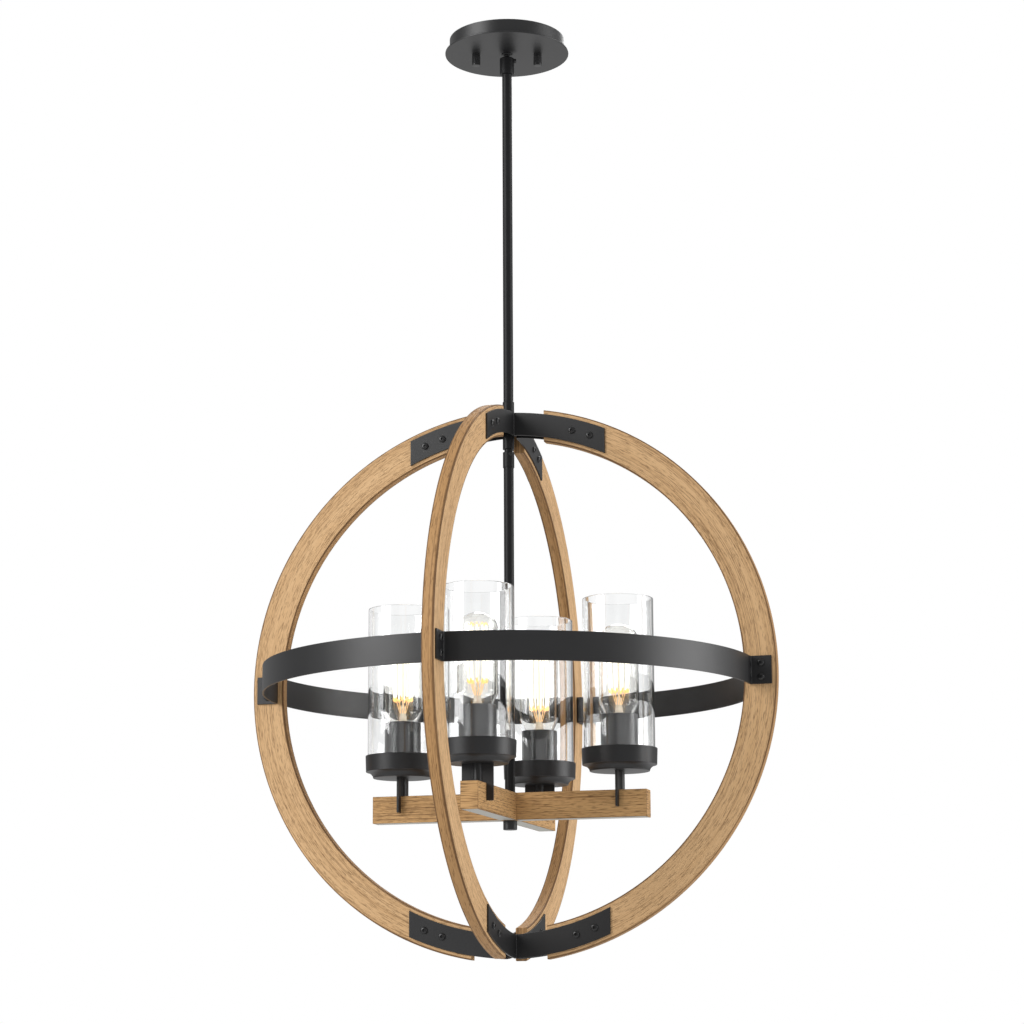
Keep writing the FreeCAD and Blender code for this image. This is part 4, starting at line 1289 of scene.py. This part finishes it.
@dataclass
class LampCross:
    """Half-lapped oak cross with forked brackets, cups and socket covers."""

    top: float = -0.8564
    lamp_reach: float = 0.1215
    beam_softness: float = 0.0008
    face_shift: float = 0.07
    fork_rise: float = 0.020
    bore: float = 0.0050
    cup_radius: float = 0.0405
    cup_foot: float = 0.0322
    cup_flare: float = 0.0006
    cup_rounding: float = 0.0013
    cup_height: float = 0.0245
    cup_wall: float = 0.0015
    cup_seat: float = 0.009
    cup_cove: float = 0.009
    cove_height: float = 0.0068
    cup_ledge: float = 0.004
    cup_lip: float = 0.0007
    cover_radius: float = 0.01975
    cover_height: float = 0.059
    cover_wall: float = 0.001
    small_round: float = 0.0004

    def beam(self, node: str, axis: int) -> bpy.types.Object:
        """One beam with softened edges and straight grain.

        Args:
            node: The CAD node it is made of.
            axis: 0 for a beam along X, 1 for one along Y.

        Returns:
            The piece.
        """
        piece = soften(from_node(node, node.replace("cross", "oak")), self.beam_softness)
        plain(piece)
        mesh, other = piece.data, 1 - axis
        grain = MeshParts()
        for polygon in mesh.polygons:
            normal = [abs(part) for part in polygon.normal]
            facing = normal.index(max(normal))
            places = [mesh.vertices[index].co for index in polygon.vertices]
            if facing == axis:
                grain.corners.append([(place[other] * 0.5, place[2]) for place in places])
            else:
                across, shift = 2 if facing == other else other, self.face_shift * facing
                grain.corners.append([(place[axis], place[across] + shift) for place in places])
            grain.sides.append(0.0)
            grain.rims.append([0.0 if max(normal) > 0.9995 else 1.0] * len(places))
        grain.lay_grain(mesh)
        return piece

    def on_fork(self, name: str, profile: Sequence[tuple[float, ...]], segments: int) -> bpy.types.Mesh:
        """A turned form standing on the right-hand bracket."""
        return turned(name, rounded(profile), segments, Vector((self.lamp_reach, 0.0, 0.0)))

    def cup(self) -> bpy.types.Mesh:
        """One cup, with a hollow curve up from its foot."""
        level = self.top + self.fork_rise
        high, seat, floor = level + self.cup_height, level + self.cup_seat, level + self.cup_wall
        inner = self.cup_radius - self.cup_wall
        start = Vector((self.cup_foot, self.cup_rounding))
        end = Vector((self.cup_radius - self.cup_flare, self.cove_height))
        chord = end - start
        drop = math.sqrt(self.cup_cove ** 2 - chord.length_squared / 4)
        centre = (start + end) / 2 + Vector((chord.y, -chord.x)).normalized() * drop
        first, last = (math.atan2((spot - centre).y, (spot - centre).x) for spot in (start, end))
        cove = [(centre.x + across, level + centre.y + up)
                for across, up in arc(self.cup_cove, first, last, 12)][:-1]
        return self.on_fork("cup_skin", [
            (self.bore, level), (self.cup_foot, level, self.cup_rounding * 0.8), *cove,
            (end.x, level + end.y, self.small_round), (self.cup_radius, high, self.cup_lip),
            (inner, high, self.cup_lip), (inner, seat, self.small_round),
            (inner - self.cup_ledge, seat), (self.cup_foot - self.cup_ledge, floor),
            (self.bore, floor)], 112)

    def cover(self) -> bpy.types.Mesh:
        """One socket cover."""
        low = self.top + self.fork_rise + self.cup_wall
        high, floor = low + self.cover_height, low + self.cover_wall
        inner = self.cover_radius - self.cover_wall
        return self.on_fork("socket_cover_skin", [
            (self.bore, low), (self.cover_radius, low), (self.cover_radius, high, self.small_round),
            (inner, high, self.small_round), (inner, floor), (self.bore, floor)], 80)

    def build(self) -> None:
        """Build the cross's pieces and hand them over."""
        body = Body.CROSS.value
        for axis, node in enumerate(("cross_beam_left_right", "cross_beam_front_back")):
            settle(self.beam(node, axis), BEAM_OAK, body, [node])
        settle(soften(from_node("fork_brackets", "lamp_forks")), BLACK, body, ["fork_brackets"])
        cups = in_ring("lamp_cups", self.cup(), BLACK)
        settle(cups, BLACK, body, [f"lamp_cup_{side}" for side in SIDES])
        settle(in_ring("socket_sleeves", self.cover(), SOOT), SOOT, body, ["socket_covers"])
        wear(["lamp_sockets"], SOCKET)
        wear(["beam_covers"], COVER)


@dataclass
class Lamps:
    """Four tubular lamps with long filaments, and their open glass cylinders."""

    reach: float = 0.1215
    base: float = -0.81585
    turn: float = 0.35
    radius: float = 0.0215
    neck_radius: float = 0.0155
    neck_start: float = 0.0305
    neck_end: float = 0.040
    taper_end: float = 0.053
    height: float = 0.138
    dome: float = 0.017
    wall: float = 0.0009
    stem_waist: tuple[tuple[float, ...], ...] = (
        (0.0048, 0.0415, 0.006), (0.0034, 0.0500, 0.004), (0.0031, 0.0565, 0.002),
        (0.0011, 0.0600, 0.001))
    cap_contact: tuple[Flat, ...] = ((0.0, 0.0), (0.0045, 0.0), (0.0050, 0.0012), (0.0075, 0.0018))
    cap_radius: float = 0.013
    cap_length: float = 0.026
    cap_taper: float = 0.0045
    thread_depth: float = 0.0007
    thread_turns: int = 5
    filament_count: int = 10
    filament_ring: float = 0.0098
    filament_low: float = 0.0665
    filament_high: float = 0.1235
    filament_lean: float = 0.0012
    post_top: float = 0.1265
    filament_radius: float = 0.0008
    hook_radii: Flat = (0.00050, 0.00095)
    hook_bends: tuple[tuple[Flat, ...], ...] = (
        ((0.0, -0.001), (0.0007, 0.0014), (-0.0006, 0.0026), (-0.0024, 0.0012)),
        ((0.0, -0.001), (0.0007, 0.0012), (-0.0006, 0.0026), (-0.0024, 0.0012)))
    support_radii: Flat = (0.00020, 0.00036)
    lead_radius: float = 0.00032
    shade_foot: float = -0.8274
    shade_height: float = 0.177
    shade_radius: float = 0.0381
    shade_wall: float = 0.0022
    foot_polish: float = 0.0008
    rim_polish: float = 0.00105

    def side(self, thin: float, bends: Flat) -> list[Flat]:
        """One face of a lamp's glass, from the inner edge of its neck to its crown.

        Args:
            thin: How far inside the outer face it lies.
            bends: Radii of the bends at the neck and the shoulder.

        Returns:
            The outline, ending on the axis.
        """
        start, steps = self.height - self.dome, 18
        neck, radius, rise = self.neck_radius - thin, self.radius - thin, self.dome - thin
        side = rounded([
            (self.neck_radius - self.wall, self.neck_start), (neck, self.neck_start),
            (neck, self.neck_end, bends[0]), (radius, self.taper_end, bends[1]),
            (radius, start), (0.0, start)], 6)[:-2]
        crown = [(radius * math.cos(QUARTER * step / steps),
                  start + rise * math.sin(QUARTER * step / steps)) for step in range(steps)]
        return side + crown + [(0.0, start + rise)]

    def envelope(self) -> bpy.types.Mesh:
        """Thin glass bottle of a lamp."""
        inner = self.side(self.wall, (0.0045, 0.0095))[2:]
        return turned("lamp_envelope", self.side(0.0, (0.004, 0.010)) + inner[::-1], 72)

    def stem(self) -> bpy.types.Mesh:
        """Glass stem inside a lamp, flared at the neck and pinched at its top."""
        flare = self.neck_radius - self.wall - 0.0006
        foot = self.neck_start + 0.001
        return turned("lamp_stem", rounded([
            (0.0, foot), (flare, foot, 0.0003), (flare, self.neck_start + 0.003, 0.0005),
            *self.stem_waist, (0.0009, self.post_top - 0.0004, 0.0003), (0.0, self.post_top)], 5), 32)

    def cap(self) -> bpy.types.Mesh:
        """Screw cap with a rolled thread and a centre contact."""
        profile = [*self.cap_contact, (self.cap_radius - 0.0018, self.cap_taper)]
        first, last = self.cap_taper + 0.001, self.cap_length - 0.003
        steps = self.thread_turns * 8
        for step in range(steps + 1):
            share = step / steps
            wave = (1 - math.cos(ROUND * self.thread_turns * share)) / 2
            radius = self.cap_radius - self.thread_depth * (1 - wave)
            profile.append((radius, first + (last - first) * share))
        neck, top = self.neck_radius - 0.0002, self.neck_start + 0.0004
        profile += [(self.cap_radius - 0.0003, self.cap_length), (neck, self.neck_start),
                    (neck, top), (0.0, top)]
        return turned("lamp_cap", profile)

    def filament(self) -> bpy.types.Mesh:
        """One upright filament at the front of its ring."""
        rise = self.filament_high - self.filament_low
        path = [Vector((self.filament_ring + self.filament_lean * math.sin(math.pi * step / 10), 0.0,
                        self.filament_low + rise * step / 10)) for step in range(11)]
        return tube("filament", path, self.filament_radius, 8)

    def hooks(self) -> bpy.types.Mesh:
        """The wire hooks at both ends of one filament, which their finish shows bright with a painted
        glow.
        """
        wires = []
        for way, level, bends, radius in zip((1, -1), (self.filament_high, self.filament_low),
                                             self.hook_bends, self.hook_radii):
            path = bent([(self.filament_ring + out, 0, level + way * up) for out, up in bends])
            wires.append(tube("hook", path, radius))
        return joined("hooks", wires)

    def supports(self) -> bpy.types.Mesh:
        """The fine wires that carry one filament's hooks from the stem."""
        ring, low, high = self.filament_ring, self.filament_low, self.filament_high
        top = bent([(ring - 0.0024, 0, high + 0.0012), (ring * 0.5, 0, high + 0.0022),
                    (0.0004, 0, high - 0.001)])
        foot = bent([(ring - 0.0024, 0, low - 0.0012), (ring * 0.68, 0.0006, low - 0.0042),
                     (ring * 0.54, 0.0014, low - 0.0086), (ring * 0.42, 0.0008, low - 0.0128),
                     (0.0030, 0.0, low - 0.0165)])
        return joined("supports", [tube("support", path, radius)
                                   for path, radius in zip((top, foot), self.support_radii)])

    def leads(self) -> bpy.types.Mesh:
        """The two lead wires that rise through the stem."""
        return joined("leads", [tube("lead", bent([
            (way * 0.0060, 0, self.neck_start + 0.004), (way * 0.0030, 0, 0.044),
            (way * 0.0020, 0.0004 * way, 0.050), (way * 0.0010, 0, 0.0560)]), self.lead_radius)
            for way in (1, -1)])

    def shade(self) -> bpy.types.Mesh:
        """Open glass cylinder with fire-polished rims."""
        inner, outer = self.shade_radius - self.shade_wall, self.shade_radius
        low, high = self.shade_foot, self.shade_foot + self.shade_height
        return turned("shade_skin", rounded([
            (inner, low, self.foot_polish), (outer, low, self.foot_polish),
            (outer, high, self.rim_polish), (inner, high, self.rim_polish)], 5), 144)

    def build(self) -> None:
        """Build the four lamps and shades and hand each to its own body."""
        rings = [in_ring(name, mesh, finish, self.filament_count) for name, mesh, finish in (
            ("filament_ring", self.filament(), GLOW), ("hook_ring", self.hooks(), HOOK_PAINTED_GLOW),
            ("support_ring", self.supports(), WIRE_PAINTED_GLOW))]
        # The stem, hooks and supports glow by painted light in their finishes; only the filaments are
        # lit.
        kinds = [("glass", self.envelope(), LAMP_GLASS, "bulb"), ("stem", self.stem(), STEM_GLASS, ""),
                 ("cap", self.cap(), NICKEL, "lamp_core"), ("filaments", rings[0].data, GLOW, ""),
                 ("hooks", rings[1].data, HOOK_PAINTED_GLOW, ""), ("supports", rings[2].data, WIRE_PAINTED_GLOW, ""),
                 ("leads", self.leads(), LEAD, "")]
        out = Matrix.Translation((self.reach, 0.0, 0.0))
        for quarter, side in enumerate(SIDES):
            turn = spun(QUARTER * quarter)
            seat = turn @ Matrix.Translation((self.reach, 0.0, self.base)) @ spun(self.turn + quarter)
            for kind, mesh, finish, node in kinds:
                name = f"lamp_{kind}_{side}"
                nodes = [f"{node}_{side}"] if node else []
                settle(thing(moved(mesh, seat, name), name), finish, f"lamp_{side}", nodes)
            name = f"glass_cylinder_{side}"
            shade = thing(moved(self.shade(), turn @ out, name), name)
            settle(shade, GLASS, f"shade_{side}", [f"glass_shade_{side}"])
        for spare in rings:
            bpy.data.objects.remove(spare)


# ------------------------------------------------------------------ studio


@dataclass(frozen=True)
class Softbox:
    """A soft area lamp: degrees round from the camera's side and up, metres, watts."""

    name: str
    azimuth: float
    elevation: float
    distance: float
    size: Flat
    power: float


SOFTBOXES = (Softbox("key", -60.0, 19.0, 3.2, (1.8, 1.8), 72.0),
             Softbox("fill", 84.0, 9.0, 3.2, (2.0, 2.2), 62.0),
             Softbox("rear", 165.0, 38.0, 3.0, (1.8, 1.2), 24.0))


@dataclass
class Studio:
    """Soft lamps, even white surroundings and the camera."""

    azimuth: float = math.radians(15.909)
    distance: float = 2.8323
    camera_level: float = -1.1192
    pitch: float = math.radians(11.407)
    yaw: float = math.radians(-0.070)
    roll: float = math.radians(-0.262)
    focal_pixels: float = 2632.5
    image_width: int = 1024
    sensor: float = 36.0
    clip_end: float = 60.0
    aim: Vector = field(default_factory=lambda: Vector((0.0, 0.0, -0.6)))
    flank_stops: Stops = ((0.72, 0.0), (0.95, 1.0))
    above_stops: Stops = ((0.36, 0.84), (0.42, 0.45), (0.5, 0.37), (0.9, 0.55))
    below_stops: Stops = ((0.36, 0.0), (0.42, 1.0))
    plain_stops: Stops = ((0.36, (0.70, 0.70, 0.70)), (0.45, (0.62, 0.62, 0.63)))
    gloss_dark: float = 0.5
    clear_dark: float = 0.7

    def camera(self) -> None:
        """Stand the camera where the object was seen from."""
        data = bpy.data.cameras.new("camera")
        data.sensor_width = self.sensor
        data.lens = self.focal_pixels / self.image_width * self.sensor
        data.clip_end = self.clip_end
        camera = thing(data, "camera")
        heading = self.azimuth + self.yaw
        ahead = Vector((-math.sin(heading), math.cos(heading), 0.0))
        right = Vector((math.cos(heading), math.sin(heading), 0.0))
        rise = Vector((0.0, 0.0, 1.0))
        look = ahead * math.cos(self.pitch) + rise * math.sin(self.pitch)
        top = rise * math.cos(self.pitch) - ahead * math.sin(self.pitch)
        side = right * math.cos(self.roll) + top * math.sin(self.roll)
        top = top * math.cos(self.roll) - right * math.sin(self.roll)
        turn = Matrix((side, top, -look)).transposed().to_4x4()
        place = (math.sin(self.azimuth) * self.distance, -math.cos(self.azimuth) * self.distance,
                 self.camera_level)
        camera.matrix_world = Matrix.Translation(place) @ turn
        bpy.context.scene.camera = camera

    def lamp(self, box: Softbox) -> None:
        """One soft area lamp aimed at the object."""
        data = bpy.data.lights.new(box.name, "AREA")
        data.shape = "RECTANGLE"
        data.size, data.size_y = box.size
        data.energy = box.power
        lamp = thing(data, box.name)
        heading = self.azimuth + math.radians(box.azimuth)
        rise = math.radians(box.elevation)
        away = Vector((math.sin(heading) * math.cos(rise), -math.cos(heading) * math.cos(rise),
                       math.sin(rise)))
        turn = away.to_track_quat("Z", "Y").to_matrix().to_4x4()
        lamp.matrix_world = Matrix.Translation(self.aim + away * box.distance) @ turn

    def surroundings(self) -> None:
        """White to the eye, and a soft even light with darker flanks for reflections."""
        world = bpy.data.worlds.new("studio")
        bpy.context.scene.world = world
        world.use_nodes = True
        world.node_tree.nodes.clear()
        graph = Graph(world.node_tree)
        path = graph.make("ShaderNodeLightPath")
        seen, through, gloss = (Wire(graph, path.outputs[f"Is {ray} Ray"])
                                for ray in ("Camera", "Transmission", "Glossy"))
        where = graph.add("ShaderNodeTexCoord", None, None, "Generated")
        parts = graph.make("ShaderNodeSeparateXYZ", None, {"Vector": where})
        east, north, up = (Wire(graph, parts.outputs[index]) for index in range(3))
        bearing = north.maths("ARCTAN2", east)
        flank = ((bearing - self.azimuth) * 4.0 + QUARTER).maths("COSINE") * 0.5 + 0.5
        dark = graph.ramp(flank, self.flank_stops)
        rise = up * 0.5 + 0.5
        above = graph.ramp(rise, self.above_stops)
        below = graph.ramp(rise, self.below_stops)
        soft = above * (1.0 - dark * below * self.gloss_dark)
        clear = 1.0 - dark * below * self.clear_dark
        level = graph.mix(gloss, graph.ramp(rise, self.plain_stops), soft)
        level = graph.mix(through, level, clear)
        level = graph.mix(seen, level, WHITE)
        shade = graph.make("ShaderNodeBackground", None, {"Color": level, "Strength": 1.0})
        output = graph.make("ShaderNodeOutputWorld")
        world.node_tree.links.new(shade.outputs[0], output.inputs["Surface"])

    def build(self) -> None:
        """Set the surroundings, the lamps and the camera."""
        self.surroundings()
        for box in SOFTBOXES:
            self.lamp(box)
        self.camera()
        bpy.context.scene.view_settings.view_transform = "Standard"


def main() -> None:
    """Build the sub-assemblies in order, from the ceiling down."""
    logging.basicConfig(level=logging.INFO, format="%(message)s")
    for assembly in (Canopy(), Rods(), Globe(), LampCross(), Lamps(), Studio()):
        assembly.build()


if __name__ == "__main__":
    main()
